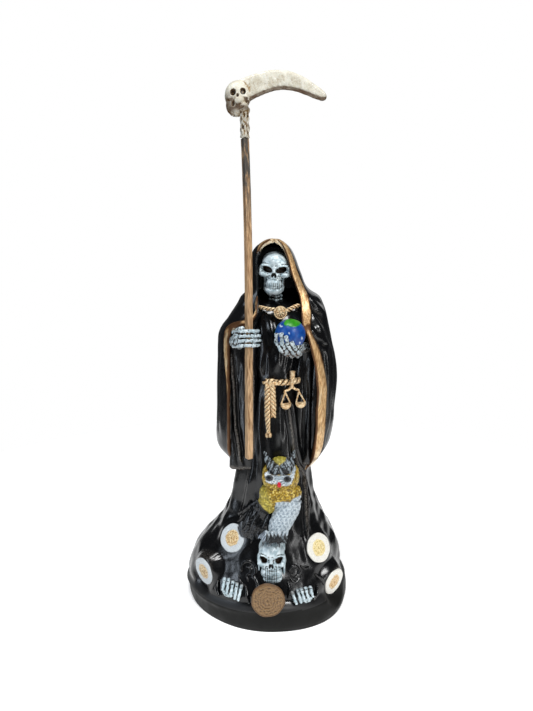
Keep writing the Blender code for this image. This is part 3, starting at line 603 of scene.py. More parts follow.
def robe_normal(angle, height):
    across = robe_point(angle + 0.02, height) - robe_point(angle - 0.02, height)
    up = robe_point(angle, height + 3.0) - robe_point(angle, height - 3.0)
    normal = np.cross(across, up)
    return normal / np.linalg.norm(normal)


def grid_normals(points):
    """Normals of a grid of points, rows first: outward on the robe, inward on the cloak, whose columns run
    the other way round."""
    across = np.gradient(points, axis=1)
    up = np.gradient(points, axis=0)
    normal = np.cross(across, up)
    return normal / np.maximum(np.linalg.norm(normal, axis=-1, keepdims=True), 1e-9)


def grid_piece(points):
    """A mesh grid through rows of points."""
    rows, columns = points.shape[:2]

    def place(across, up):
        row = np.rint(up * (rows - 1)).astype(int)
        column = np.rint(across * (columns - 1)).astype(int)
        return points[row, column]

    return sheet(columns - 1, rows - 1, place)


def make_robe(paint):
    """The base, the spreading skirt and the tunic, one skin from the floor to the neck."""
    columns, rows = 300, 255
    share = np.linspace(-1, 1, columns + 1)
    angle = np.pi * (share - 0.16 * np.sin(np.pi * share))
    height = np.concatenate([np.linspace(0.0, 140.0, 140), np.linspace(140.0, 292.4, rows - 139)[1:]])
    turn, level = np.meshgrid(angle, height)
    points = robe_point(turn, level)
    normal = grid_normals(points)
    x, z = points[..., 0], points[..., 2]
    front = rise(-points[..., 1], 0.0, 14.0)
    out = front * fold_height(x, z, ROBE_FOLDS)
    out += 0.9 * lumps(points, 34, 3) * rise(z, 18, 40) * (1 - rise(z, 110, 150))
    out += 0.5 * lumps(points, 15, 4) * rise(z, 22, 36) * (1 - rise(z, 90, 140))
    out += 0.35 * lumps(points, 26, 5) * (1 - rise(z, 10, 22))
    lip = 17.5 + 2.0 * np.cos(turn * 2) + 1.2 * np.sin(turn * 5 + 1)
    out += 1.1 * np.exp(-((z - lip) / 2.6) ** 2) - 1.3 * np.exp(-((z - lip - 6.5) / 3.4) ** 2)
    out += 0.22 * lumps(points * np.array([1, 1, 0.25]), 7, 6) * rise(z, 100, 140)
    out *= rise(z, -0.5, 3.0)
    points = bed_coins(points + normal * out[..., None])
    points[..., 2] = np.where(level <= 0, 0.0, np.maximum(points[..., 2], 0.0))
    piece = grid_piece(points)
    close_up(piece, 0.05)
    close_flat(piece, 0.0)
    close_flat(piece, height[-1])
    mark(piece, "border", np.full(len(piece.data.vertices), -9.0))
    places = read_points(piece)
    # Painted sheen: a brownish-silver line along the crests of the two long folds down the front, with wear
    # on other ridges.
    drape_height = fold_height(places[:, 0], places[:, 2], ROBE_FOLDS[:2])
    crest = rise(drape_height, 2.0, 3.0) * rise(-places[:, 1], 20.0, 26.0)
    worn = rise(-hollow_depth(piece, 6), 0.16, 0.40) * 0.15
    mark(piece, "wear_and_painted_sheen", np.maximum(worn, crest * 0.95 * rise(places[:, 2], 70, 100)))
    finish(piece, "robe", paint)
    low = [face.center.z < 18.0 * MM for face in piece.data.polygons]
    piece.data.polygons.foreach_set("material_index", np.array(low, np.int32))


def close_flat(piece, level):
    """Fills the open ring that lies at one height."""
    bpy.ops.object.select_all(action="DESELECT")
    piece.select_set(True)
    bpy.context.view_layer.objects.active = piece
    bpy.ops.object.mode_set(mode="EDIT")
    bpy.ops.mesh.select_all(action="DESELECT")
    bpy.ops.mesh.select_mode(type="VERT")
    bpy.ops.mesh.select_non_manifold(extend=False)
    bpy.ops.object.mode_set(mode="OBJECT")
    chosen = np.zeros(len(piece.data.vertices), bool)
    piece.data.vertices.foreach_get("select", chosen)
    chosen &= np.abs(read_points(piece)[:, 2] - level) < 4.0
    piece.data.vertices.foreach_set("select", chosen)
    bpy.ops.object.mode_set(mode="EDIT")
    bpy.ops.mesh.edge_face_add()
    bpy.ops.mesh.select_all(action="SELECT")
    bpy.ops.mesh.normals_make_consistent(inside=False)
    bpy.ops.object.mode_set(mode="OBJECT")


def edge_angle(share, power):
    """The angle of the outline's front point whose x is this share of the half width."""
    side = np.minimum(np.abs(share), 0.995)
    ahead = (1 - side ** power) ** (1 / power)
    return np.copysign(np.arctan2(side, ahead), share)


def cloak_point(across, height):
    """The cloak's skin; across runs 0 to 1 from the left front edge round the back to the right one."""
    left, right, front, back, left_edge, right_edge, power = along(CLOAK_ROWS, height)
    centre, half = (left + right) / 2, (right - left) / 2
    start = edge_angle((left_edge - centre) / half, power)
    end = edge_angle((right_edge - centre) / half, power)
    side, ahead = power_circle(start - across * (TURN - (end - start)), power)
    reach = np.where(ahead < 0, 2.0 - front, back - 2.0)
    return np.stack([centre + side * half, 2.0 + ahead * reach, height], -1)


def back_folds(across, height):
    """Pipe folds round the cloak's sides and back, running together towards the neck."""
    hang = rise(height, 138.0, 168.0) * (1 - rise(height, 215.0, 272.0))
    wave = TURN * 12.5 * across + 1.3 * np.sin(TURN * 3 * across + 1.0) + 0.5 * np.sin(height / 30.0)
    tall = 1.5 + 0.6 * np.sin(TURN * 5 * across + 2.0)
    middle = rise(across, 0.16, 0.26) * (1 - rise(across, 0.74, 0.84))
    neck = 0.8 * (1 - rise(height, 318.0, 340.0)) * rise(height, 225.0, 280.0)
    gathers = neck * middle * np.cos(TURN * 9 * across + 0.8)
    return hang * tall * (np.abs(np.cos(wave / 2)) ** 0.8 - 0.6) * (0.35 + 0.65 * middle) * 1.6 + gathers


def hood_crown(across, share):
    """The hood's top: each column arches from the rim's height over to the crown's middle line."""
    start = cloak_point(across, np.full_like(across, HOOD_START))
    below = cloak_point(across, np.full_like(across, HOOD_START - 4.0))
    peak_y = -19.5 + 0.6 * np.clip(start[..., 1] + 20.5, 0.0, 50.0)
    back = (peak_y + 19.5) / 27.5
    peak_z = 349.8 + 5.0 * back - 5.6 * back ** 2
    peak = np.stack([4.8 + 0.4 * back, peak_y, peak_z], -1)
    tall = peak[..., 2] - HOOD_START
    lean = (start - below) / 4.0
    rising = lean * (1.657 * tall)[..., None]
    ending = (peak - start) * 1.657
    ending[..., 2] = 0.0
    s = share[..., None]
    curve = (2 * s ** 3 - 3 * s ** 2 + 1) * start + (s ** 3 - 2 * s ** 2 + s) * rising
    return curve + (3 * s ** 2 - 2 * s ** 3) * peak + (s ** 3 - s ** 2) * ending


# Width of the gold border down each front edge: height, width on the left edge, width on the right edge.
BORDER_ROWS = [
    (129, 2.2, 7.6), (140, 2.6, 9.4), (160, 2.6, 10.8), (190, 2.4, 11.2), (214, 2.8, 10.8), (228, 4.2, 10.0),
    (245, 6.6, 9.0), (256, 7.4, 7.2), (262, 7.6, 5.4), (270, 7.4, 6.4), (276, 4.8, 8.0), (284, 2.6, 9.2),
    (296, 1.8, 8.8), (303, -1.5, 8.4), (320, -2.0, 7.2), (332, -1.6, 6.4), (337, 0.4, 6.0), (341, 2.4, 6.0),
    (345, 4.6, 6.0), (349, 6.0, 6.0), (356, 6.0, 6.0),
]


def edge_border(skin):
    """For each point of the cloak's skin, how far inside the gold border it lies; negative outside."""
    border = np.full(skin.shape[:2], -99.0)
    for column, side in ((0, 0), (-1, 1)):
        rim = skin[:, column]
        fine = np.linspace(0, len(rim) - 1, 1100)
        rim = np.stack([np.interp(fine, np.arange(len(rim)), rim[:, axis]) for axis in range(3)], -1)
        width = along(BORDER_ROWS, rim[:, 2])[side]
        for row in range(skin.shape[0]):
            gap = np.linalg.norm(skin[row][:, None, :] - rim[None], axis=-1)
            border[row] = np.maximum(border[row], (width[None] - gap).max(1))
    return border


def fill_sleeves(lining):
    """Brings the lining forward to a draped wall inside sleeves and chest, as deep as the casting is open."""
    for row in lining[:-1]:
        height = row[:, 2].mean()
        limit = -22.0 + 32.0 * rise(height, 284, 306)
        behind = np.nonzero(row[:, 1] > limit)[0]
        if len(behind) < 3:
            continue
        first, last = behind[0], behind[-1]
        part = np.linspace(0, 1, last - first + 1)
        x = row[first, 0] + (row[last, 0] - row[first, 0]) * part
        sleeve = rise(height, 138, 165) * (1 - rise(height, 246, 262))
        edge = rise(part, 0.0, 0.08) * (1 - rise(part, 0.92, 1.0))
        wall = limit + 1.2 * sleeve * edge * np.cos(x * 0.41 + 1.0 - 0.02 * height)
        full = rise(height, 129.5, 133.0)
        row[first:last + 1, 0] += (x - row[first:last + 1, 0]) * full
        row[first:last + 1, 1] += (wall - row[first:last + 1, 1]) * full


def make_cloak(paint):
    """The hooded cloak with wide sleeves: an outer skin, an inner one, and a rounded edge between them."""
    columns, low_rows, top_rows = 200, 164, 32
    share = np.linspace(0, 1, columns + 1)
    across = 0.45 * share + 0.55 * (0.5 - 0.5 * np.cos(np.pi * share))
    height = np.linspace(CLOAK_ROWS[0][0], HOOD_START, low_rows + 1)
    side, level = np.meshgrid(across, height)
    skin = cloak_point(side, level)
    side_top, crown = np.meshgrid(across, np.linspace(0, 1, top_rows + 1)[1:])
    skin = np.concatenate([skin, hood_crown(side_top, crown)])
    side = np.concatenate([side, side_top])
    normal = -grid_normals(skin)
    x, y, z = skin[..., 0], skin[..., 1], skin[..., 2]
    front = rise(-y, -4.0, 10.0)
    border = edge_border(skin)
    over_crown = np.concatenate([np.zeros(low_rows + 1), np.linspace(0, 1, top_rows + 1)[1:]])[:, None]
    calm = (1 - rise(border, -2.0, 0.0)) * (1 - rise(over_crown, 0.55, 0.95))
    near = rise(-y, 3.0, 17.0)
    out = calm * (back_folds(side, z) * (1 - 0.8 * front) + near * fold_height(x, z, CLOAK_FOLDS))
    out += 0.14 * calm * lumps(skin * np.array([1, 1, 0.3]), 8, 11)
    out += 0.75 * rise(border, -0.3, 0.5)
    out += 0.16 * rise(border, 0.3, 1.0) * lumps(skin * np.array([1, 1, 0.35]), 5, 12)
    skin = skin + normal * out[..., None]
    skin[-1] = (skin[-1] + skin[-1][::-1]) / 2

    seat = np.minimum(np.arange(columns + 1), columns - np.arange(columns + 1))
    step = np.linalg.norm(np.diff(skin, axis=1, prepend=skin[:, :1]), axis=-1)
    from_left = np.cumsum(step, axis=1)
    gap = np.minimum(from_left, from_left[:, -1:] - from_left)
    gap[:, 0] = gap[:, -1] = 0.0
    round_edge = np.sqrt(1 - (1 - np.clip(gap / 2.0, 0, 1)) ** 2)
    round_hem = np.sqrt(1 - (1 - np.clip((z - height[0]) / 3.0, 0, 1)) ** 2)
    wall = CLOAK_WALL * round_edge * round_hem
    lining = skin + grid_normals(skin) * wall[..., None]
    fill_sleeves(lining)
    lining[-1] = (lining[-1] + lining[-1][::-1]) / 2

    outer = grid_piece(skin[:, ::-1])
    inner = grid_piece(lining)
    mark(outer, "border", grid_values(border[:, ::-1]))
    mark(inner, "border", grid_values(np.where(seat[None] < 9, border - gap * 0.6 - 1.2, -9.0)))
    piece = join([outer, inner])
    close_up(piece, 0.05)
    places = read_points(piece)
    crest = (1 - rise(np.abs(places[:, 0] - 5.0), 1.0, 4.0)) * rise(places[:, 2], 336, 340)
    write_points(piece, places + normals_of(piece) * (hollow_depth(piece, 8) * crest)[:, None])
    places = read_points(piece)
    dip = hollow_depth(piece, 6) * (1 - crest)
    mark(piece, "hollow", dip)
    # Wear on ridges, much stronger on the right sleeve's front, where it is a painted brownish-silver
    # reflection.
    right = rise(places[:, 0], 36, 44) * rise(-places[:, 1], -8, 6) * (1 - rise(places[:, 2], 290, 304))
    mark(piece, "wear_and_painted_sheen", rise(-dip, 0.12, 0.40) * (0.03 + 0.28 * right))
    # Painted highlight on the gold border: cream, strongest where the surface faces up.
    mark(piece, "cream", 0.8 * rise(normals_of(piece)[:, 2], 0.1, 0.6))
    return finish(piece, "cloak", paint)


def grid_values(values):
    """A grid's values in the order of grid_piece's vertices."""
    return values.ravel()


def dent(points, centre, radii, push, turn=0.0, firm=0.45):
    """Moves the points in an ellipsoid by the push, least at its rim, and gives each one's share of it."""
    away = points - np.array(centre)
    c, s = math.cos(turn), math.sin(turn)
    across, up = away[:, 0] * c + away[:, 2] * s, away[:, 2] * c - away[:, 0] * s
    share = (across / radii[0]) ** 2 + (away[:, 1] / radii[1]) ** 2 + (up / radii[2]) ** 2
    full = 1 - rise(share, firm, 1.0)
    points += full[:, None] * np.array(push)
    return full


def skull_forms(broad, jaw):
    """A skull's forms in shares of its half width and half height: middle, radii and tilt in degrees."""
    forms = [((0, 0.30, 0.42), (0.90 * broad, 1.00, 0.57), 0),
             ((0, -0.24, 0.36), (0.86 * broad, 0.60, 0.52), 0),
             ((0, -0.30, 0.10), (0.88 * broad, 0.46, 0.24), 0),
             ((0, -0.68, 0.20), (0.20, 0.18, 0.16), 0),
             ((0, -0.76, 0.04), (0.12, 0.16, 0.16), 0),
             ((0, -0.36, -0.18), (0.50 * jaw, 0.46, 0.36), 0),
             ((0, -0.42, -0.52), (0.50 * jaw, 0.43, 0.34), 0),
             ((0, -0.42, -0.79), (0.38 * jaw, 0.37, 0.19), 0)]
    for side in (-1, 1):
        forms += [((side * 0.44, -0.66, 0.29), (0.42, 0.19, 0.09), side * -8),
                  ((side * 0.16 * jaw, -0.39, -0.80), (0.34 * jaw, 0.37, 0.20), 0),
                  ((side * 0.66, -0.50, -0.10), (0.32, 0.26, 0.13), side * -6),
                  ((side * 0.86, -0.34, 0.08), (0.13, 0.28, 0.25), 0),
                  ((side * 0.88, -0.18, -0.05), (0.13, 0.34, 0.12), 0),
                  ((side * 0.58 * jaw, -0.08, -0.42), (0.09, 0.32, 0.42), 0),
                  ((side * 0.44 * jaw, -0.22, -0.76), (0.12, 0.36, 0.17), 0)]
    return forms


def skull(centre, half_width, half_height, roll=0.0, yaw=0.0, detail=80, eyes=0.13, nose=-0.10, angry=0.22,
          sockets=(0.455, 0.385, 0.158), rows=(-0.61,), broad=1.0, jaw=1.0, scowl=0.0):
    """A skull facing -Y with deep sockets, cheekbones, closed rows of teeth and a square chin."""
    size = np.array([half_width, half_width, half_height])
    forms = []
    for middle, radii, tilt in skull_forms(broad, jaw):
        forms.append(ball(np.array(middle) * size, np.array(radii) * size, (0, tilt, 0), fine=12))
    piece = fuse(forms, 2 * half_width / detail, 3)
    points = read_points(piece) / size
    stain_and_painted_shade = np.zeros(len(points))
    hollow = np.zeros(len(points))
    for side in (-1, 1):
        # Painted shade in brown under the cheekbones; the sockets are browned less.
        stain_and_painted_shade += 0.9 * dent(points, (side * 0.70 * jaw, -0.50, -0.45), (0.15, 0.50, 0.27),
                            (0, 0.26, 0), 0, 0.3)
        hole = dent(points, (side * sockets[0], -0.80, 0.135), (sockets[1], 0.50, sockets[2]), (0, 0.34, 0),
                    side * angry, 0.6)
        hollow += hole
        stain_and_painted_shade += 0.45 * hole
        hollow += dent(points, (side * 0.075, -0.85, -0.13), (0.085, 0.40, 0.145), (0, 0.16, 0),
                       side * 0.45, 0.4)
        dent(points, (side * 0.30, -0.9, -0.22), (0.16, 0.4, 0.12), (0, 0.05, 0))
    x, y, z = points.T
    face = rise(-y, 0.30, 0.55)
    narrow = 1 - rise(np.abs(x), 0.40, 0.50)
    line = sum(np.exp(-((z - level) / 0.018) ** 2) for level in rows) * narrow
    gap = np.abs(np.cos(np.pi * x / 0.125)) ** 8
    teeth = gap * rise(z, min(rows) - 0.17, min(rows) - 0.10)
    teeth = teeth * (1 - rise(z, max(rows) + 0.10, max(rows) + 0.17)) * narrow
    brow = np.exp(-((z - 0.05 - 0.36 * np.abs(x)) / 0.035) ** 2)
    brow = brow * rise(np.abs(x), 0.08, 0.2) * (1 - rise(np.abs(x), 0.7, 0.85))
    cut = face * (0.022 * line + 0.035 * teeth + scowl * 0.07 * brow)
    points[:, 1] += cut
    points[:, 1] += face * 0.014 * lumps(points * 10, 2.4, 21)
    knots = [-1.1, -0.45, -0.13, 0.13, 1.1]
    points[:, 2] = np.interp(z, knots, [-1.1, -0.45 + (nose + 0.13) * 0.7, nose, eyes, 1.1])
    turn = Matrix.Rotation(yaw, 3, "Z") @ Matrix.Rotation(roll, 3, "Y")
    write_points(piece, (points * size) @ np.array(turn).T + np.array(centre))
    dip = np.clip(hollow_depth(piece, 7), -0.2, 0.35) * (15.0 / half_width) ** 0.5
    mark(piece, "hollow", 1.5 * dip + 0.7 * hollow + 2.6 * cut)
    mark(piece, "stain_and_painted_shade", np.clip(stain_and_painted_shade, 0, 1))
    return piece


def bone(path, radius, knuckles=2):
    """A finger or toe: a rod with a swelling at each joint and a round tip."""
    steps = 4 * knuckles + 1
    path = np.array(path, float)
    at = np.linspace(0, len(path) - 1, steps)
    points = np.stack([np.interp(at, np.arange(len(path)), path[:, axis]) for axis in range(3)], -1)
    radii = [radius * (1.0 + 0.15 * math.cos(TURN * i / 4)) for i in range(steps)]
    radii[-1] *= 0.62
    return rod(points, radii, sides=3, steps=3)


def make_head(paint):
    """The saint's skull and the neck bones under it."""
    head = skull(HEAD, HEAD_HALF_WIDTH, HEAD_HALF_HEIGHT, HEAD_ROLL, math.radians(-5), 72, angry=0.20)
    finish(head, "head_skull", paint)
    neck = [rod([(6.6, 6, 284), (6.6, 2, 294), (6.6, 2, 306)], [5.5, 4.6, 5.0])]
    for i in range(4):
        z = 287.5 + 3.6 * i
        neck.append(ball((7.2, -6.5 + 0.6 * i, z), (5.4 - 0.4 * i, 3.8, 1.5), (0, 4, 0)))
        neck.append(ball((7.6, -10.5 + 0.6 * i, z - 0.4), (1.5, 1.8, 1.3)))
        for side in (-1, 1):
            neck.append(ball((7.2 + side * 5.2, -5.0, z + 0.6), (1.7, 2.2, 1.3)))
    piece = fuse(neck, 0.45)
    mark(piece, "hollow", hollow_depth(piece, 4) * 2.0 + 0.12)
    mark(piece, "stain_and_painted_shade", np.zeros(len(piece.data.vertices)))
    finish(piece, "neck_bones", paint)


def make_fist(paint):
    """The right hand closed round the shaft: four finger bones across it, the thumb over the top."""
    forms = [ball((-25.8, -45.8, 263.0), (5.2, 7.0, 9.8)), ball((-18.0, -45.0, 263.6), (8.2, 3.8, 8.4)),
             rod([(-35, -12, 256), (-32, -28, 258), (-27.6, -42, 259)], [5.0, 4.8, 5.6])]
    for height, reach in ((270.4, -7.6), (266.2, -6.6), (262.0, -6.6), (257.8, -7.6)):
        path = [(-28.4, -47.6, height - 1.4), (-24.6, -52.8, height - 0.5), (-18.5, -54.4, height),
                (-12.0, -54.0, height), (reach, -49.6, height - 0.3)]
        forms.append(bone(path, 1.62, 3))
        forms.append(bone([path[0], (-30.6, -44.6, height - 2.0), (-30.6, -38.5, height - 3.4)], 1.6, 2))
    forms.append(bone([(-27, -45, 268.5), (-24.4, -47.5, 271.6), (-21.2, -46.5, 273.0)], 1.7, 2))
    piece = fuse(forms, 0.46, 1)
    points = read_points(piece)
    write_points(piece, points + normals_of(piece) * (0.26 * lumps(points, 3.0, 31))[:, None])
    # Painted shade in the gaps between the finger bones, added to the wash.
    gap_shade = sum(np.exp(-((points[:, 2] - level) / 0.7) ** 2) for level in (268.3, 264.1, 259.9))
    gap_shade *= rise(-points[:, 1], 47.5, 50.0) * rise(points[:, 0], -26.5, -24.5)
    mark(piece, "hollow", hollow_depth(piece, 12) * 2.3 + 0.09 + 0.45 * gap_shade)
    # Painted shade: browner towards the bottom of the hand, over a light brown all over.
    mark(piece, "stain_and_painted_shade", 0.14 + rise(-points[:, 2], -257.5, -252.0) * 0.6)
    finish(piece, "right_hand", paint)


def make_globe(paint):
    """The globe: deep blue enamel with one green land on top, and a few white spots painted on its
    front as highlights.
    """
    piece = ball(GLOBE, (GLOBE_RADIUS,) * 3, fine=64)
    away = (read_points(piece) - np.array(GLOBE)) / GLOBE_RADIUS
    x, y, z = away.T
    wobble = 0.05 * lumps(away * 10, 3.5, 41)
    land = 1 - (((x - 0.13 + wobble) / 0.56) ** 2 + ((z - 0.80 + 0.6 * wobble) / 0.235) ** 2)
    colour = np.tile(linear("#063d88")[:3], (len(x), 1))
    mottle = rise(lumps(away * 10, 3.0, 42), -0.4, 0.9)[:, None]
    colour = colour * (1 - 0.35 * mottle) + np.array(linear("#2166b2")[:3]) * 0.35 * mottle
    # Painted highlights: small white glints on the globe's front half.
    painted_glints = [(-0.14, 0.16, 0.09, 0.06), (0.74, -0.14, 0.07, 0.12), (-0.62, 0.60, 0.16, 0.05),
            (0.60, -0.46, 0.07, 0.10)]
    white = np.zeros(len(x))
    for dx, dz, wide, tall in painted_glints:
        spot = 1 - ((x - dx + wobble) / wide) ** 2 - ((z - dz + wobble) / tall) ** 2
        white = np.maximum(white, rise(spot, 0.0, 0.6) * rise(-y, 0.0, 0.1))
    patch = (rise(land, 0.0, 0.10) * rise(-y, -0.35, -0.2))[:, None]
    other = rise(lumps(away * 10, 9.0, 43) - 0.55 + (y > 0) * 0.35, 0.0, 0.12)[:, None] * (y > 0.1)[:, None]
    colour = colour * (1 - 0.75 * white[:, None]) + np.array(linear("#cfdde8")[:3]) * 0.75 * white[:, None]
    green = np.array(linear("#2b8a12")[:3]) * (0.85 + 0.3 * mottle)
    share = np.maximum(patch, other)
    mark(piece, "paint", colour * (1 - share) + green * share)
    mark(piece, "hollow", np.zeros(len(x)))
    far = GLOBE_RADIUS + 0.25 * share[:, 0] + wobble
    write_points(piece, np.array(GLOBE) + away * far[:, None])
    finish(piece, "globe", paint)


def make_globe_hand(paint):
    """The left hand, cupped under the globe, with long finger bones up the globe's front left."""
    x0, y0, z0 = GLOBE
    forms = [ball((x0 + 1.6, y0 + 1.5, z0 - 11.8), (10.8, 10.0, 6.6)),
             ball((x0 + 5.0, y0 - 2.0, z0 - 10.8), (4.6, 8.0, 5.4)),
             rod([(44, -8, 250), (38, -20, 251), (28, -36, 253)], [5.0, 4.6, 5.0])]
    fingers = [[(-12.2, 0.6), (-12.0, -6.6), (-8.4, -13.6), (-2.0, -19.4)],
               [(-7.8, 1.0), (-7.0, -7.8), (-3.2, -15.6), (2.6, -20.6)],
               [(-3.7, -1.8), (-1.6, -10.4), (3.4, -17.2), (7.6, -20.4)],
               [(1.2, -6.6), (4.2, -12.4), (7.8, -16.8), (10.2, -18.4)]]
    for course in fingers:
        path = []
        for dx, dz in course:
            far = math.hypot(dx, dz)
            ahead = math.sqrt(max((GLOBE_RADIUS + 1.3) ** 2 - far ** 2, 0.0))
            palm = 9.5 * math.sqrt(max(1.0 - ((dz + 12.0) / 12.0) ** 2, 0.0)) if dz < -9 else 0.0
            ahead = max(ahead, palm, 2.0)
            path.append(placed(x0 + dx, z0 + dz, y0 - ahead, y0))
        forms.append(bone(path, 1.85, 3))
    piece = fuse(forms, 0.45, 1)
    points = read_points(piece)
    write_points(piece, points + normals_of(piece) * (0.24 * lumps(points, 2.8, 51))[:, None])
    mark(piece, "hollow", hollow_depth(piece, 12) * 2.6 + 0.14)
    # Painted shade: browner towards the bottom of the hand, over a light brown all over.
    mark(piece, "stain_and_painted_shade", 0.16 + rise(-points[:, 2], -256.0, -248.0) * 0.7)
    finish(piece, "left_hand", paint)


def rope(path, radius, strands, pitch, hand=1.0, taper=0.0):
    """Strands twisted round a smooth path; the hand is 1 or -1, and the end may taper."""
    path = np.array(path, float)
    length = np.r_[0, np.cumsum(np.linalg.norm(np.diff(path, axis=0), axis=1))]
    at = np.linspace(0, length[-1], max(8, int(length[-1] / pitch * 12)))
    line = np.stack([np.interp(at, length, path[:, axis]) for axis in range(3)], -1)
    for _ in range(6):
        line[1:-1] = (line[:-2] + 2 * line[1:-1] + line[2:]) / 4
    ahead = np.gradient(line, axis=0)
    ahead /= np.linalg.norm(ahead, axis=1, keepdims=True)
    side = np.cross(ahead, (0.0, 1.0, 0.0))
    side /= np.linalg.norm(side, axis=1, keepdims=True)
    out = np.cross(side, ahead)
    thin = 1 - taper * rise(at, length[-1] * 0.6, length[-1])
    pieces = []
    for k in range(strands):
        angle = hand * TURN * at / pitch + TURN * k / strands
        away = radius * (0.46 if strands == 2 else 0.54) * thin
        places = line + side * (np.cos(angle) * away)[:, None] + out * (np.sin(angle) * away)[:, None]
        piece = rod(places, radius * (0.60 if strands == 2 else 0.50) * thin, sides=3, steps=1)
        gap = np.linalg.norm(read_points(piece)[:, None] - line[None], axis=-1)
        nearest = gap.argmin(1)
        share = gap[np.arange(len(gap)), nearest] / (radius * thin[nearest])
        mark(piece, "hollow", rise(1.04 - share, 0.14, 0.50) * 0.44 - 0.05)
        pieces.append(piece)
    return pieces


def make_belt(paint):
    """The rope belt, its knot and the two hanging cords, whose strands twist towards each other."""
    belt = [on_robe(x, BELT_HEIGHT + 0.02 * (x - 8), 1.2) for x in np.linspace(-1.8, 31, 14)]
    back = [robe_point(a, BELT_HEIGHT + 0.3) + robe_normal(a, BELT_HEIGHT) * 1.2
            for a in np.linspace(1.05, TURN - 1.15, 26)]
    pieces = rope(belt + back, 3.0, 2, 10.0)
    left = [on_robe(x, z, 2.6) for x, z in ((0.3, 219), (0.3, 209), (0.2, 198), (0.2, 186), (0.8, 173.5))]
    right = [on_robe(x, z, 2.6) for x, z in ((4.2, 219), (4.6, 209), (5.0, 199), (5.4, 188.0))]
    pieces += rope(left, 2.9, 3, 12.0, -1.0, 0.35)
    pieces += rope(right, 2.9, 3, 12.0, 1.0, 0.2)
    under = [on_robe(x, z, 3.6) for x, z in ((-1.8, 221.6), (1.2, 218.8), (4.8, 220.8), (7.8, 217.4))]
    over = [on_robe(x, z, 4.2) for x, z in ((-1.4, 217.4), (1.4, 221.2), (4.4, 222.4), (6.8, 219.2))]
    pieces += rope(under, 2.8, 2, 9.0)
    pieces += rope(over, 2.6, 2, 9.0)
    piece = join(pieces)
    finish(piece, "rope_belt", paint)
    lobes = ((0, 0, 0), (-1.2, -1.6, 0.4), (1.2, -1.4, 0.4))
    tuft = [on_robe(0.9 + dx, 172.4 + dz, 2.6 + dy) for dx, dz, dy in lobes]
    piece = fuse([ball(place, (1.9, 1.9, 2.6), fine=8) for place in tuft], 0.4, 1)
    mark(piece, "hollow", hollow_depth(piece, 4) * 1.3 + 0.08)
    finish(piece, "cord_tuft", paint)


def make_scales(paint):
    """The pair of scales that hangs from the belt: knob, stem, forked beam, chains and two pans."""
    def at(x, z, lift=3.4):
        place = on_robe(min(x, 21.0), z, lift + 1.2)
        return np.array((x, place[1], z))

    pieces = [rod([at(22.6, 230.4, 4.6), at(22.6, 223.6, 4.6)], [2.3, 2.3]),
              ball(at(22.6, 230.4, 4.6), (2.6, 2.2, 1.1)),
              ball(at(22.6, 227.2, 4.7), (2.7, 2.3, 0.9)), ball(at(22.6, 224.2, 4.6), (2.7, 2.2, 0.9)),
              rod([at(22.4, 225, 4.6), at(22.2, 220, 5.2), at(22.0, 214.6, 4.0)], [1.5, 1.9, 1.5]),
              rod([at(22.0, 217.4), at(19.2, 213.6), at(15.6, 212.6), at(15.2, 211.4)], [1.4, 1.2, 1.1, 0.9]),
              rod([at(22.0, 217.4), at(24.8, 214.0), at(28.0, 213.2), at(28.8, 211.8)], [1.4, 1.2, 1.1, 0.9])]
    for top, middle, height in ((15.8, 16.4, 200.6), (28.6, 30.3, 201.2)):
        for side in (-4.3, 4.3):
            pieces.append(rod([at(top, 211.8), at(middle + side, height, 3.0)], [0.85, 0.8]))
        edge = [at(middle - 4.8, height, 3.2), at(middle, height - 0.1, 3.6), at(middle + 4.8, height, 3.2)]
        pieces.append(rod(edge, [0.9, 1.1, 0.9]))
        bowl = ball(at(middle, height - 0.4, 3.0), (5.0, 2.6, 4.9))
        points = read_points(bowl)
        points[:, 2] = np.minimum(points[:, 2], height)
        write_points(bowl, points)
        pieces.append(bowl)
    piece = fuse(pieces, 0.36, 1)
    mark(piece, "hollow", hollow_depth(piece, 7) * 1.6 + 0.02)
    finish(piece, "pair_of_scales", paint)


def make_medallion(paint):
    """The round medallion, beaded at its rim, on a twisted chain across the chest."""
    centre = np.array((11.3, -31.6, 284.6))
    chain = [(-9.0, -20.0, 289.0), (-3, -25.5, 288.0), (3, -29.0, 287.2), (7.0, -30.6, 287.0)]
    more = [(15.6, -30.6, 286.0), (19, -29.4, 287.0), (24, -26.4, 289.4), (28.6, -22, 290.6)]
    finish(join(rope(chain, 1.9, 2, 7.0) + rope(more, 2.0, 2, 7.0, -1)), "neck_chain", paint)
    pieces = [ball(centre, (6.1, 1.7, 6.1), (8, 0, 0), fine=20)]
    for i in range(22):
        angle = TURN * i / 22
        bead = centre + np.array((5.4 * math.cos(angle), -1.1, 5.4 * math.sin(angle)))
        pieces.append(ball(bead, (0.75, 0.9, 0.75), fine=5))
    for i in range(8):
        angle = TURN * (i + 0.5) / 8
        pieces.append(ball(centre + np.array((2.9 * math.cos(angle), -1.5, 2.9 * math.sin(angle))),
                           (1.5, 0.7, 0.5), (0, -math.degrees(angle), 0), fine=5))
    pieces.append(ball(centre + np.array((0, -1.6, 0)), (1.4, 0.8, 1.4), fine=6))
    piece = fuse(pieces, 0.3, 1)
    mark(piece, "hollow", hollow_depth(piece, 6) * 2.4 - 0.05)
    finish(piece, "medallion", paint)


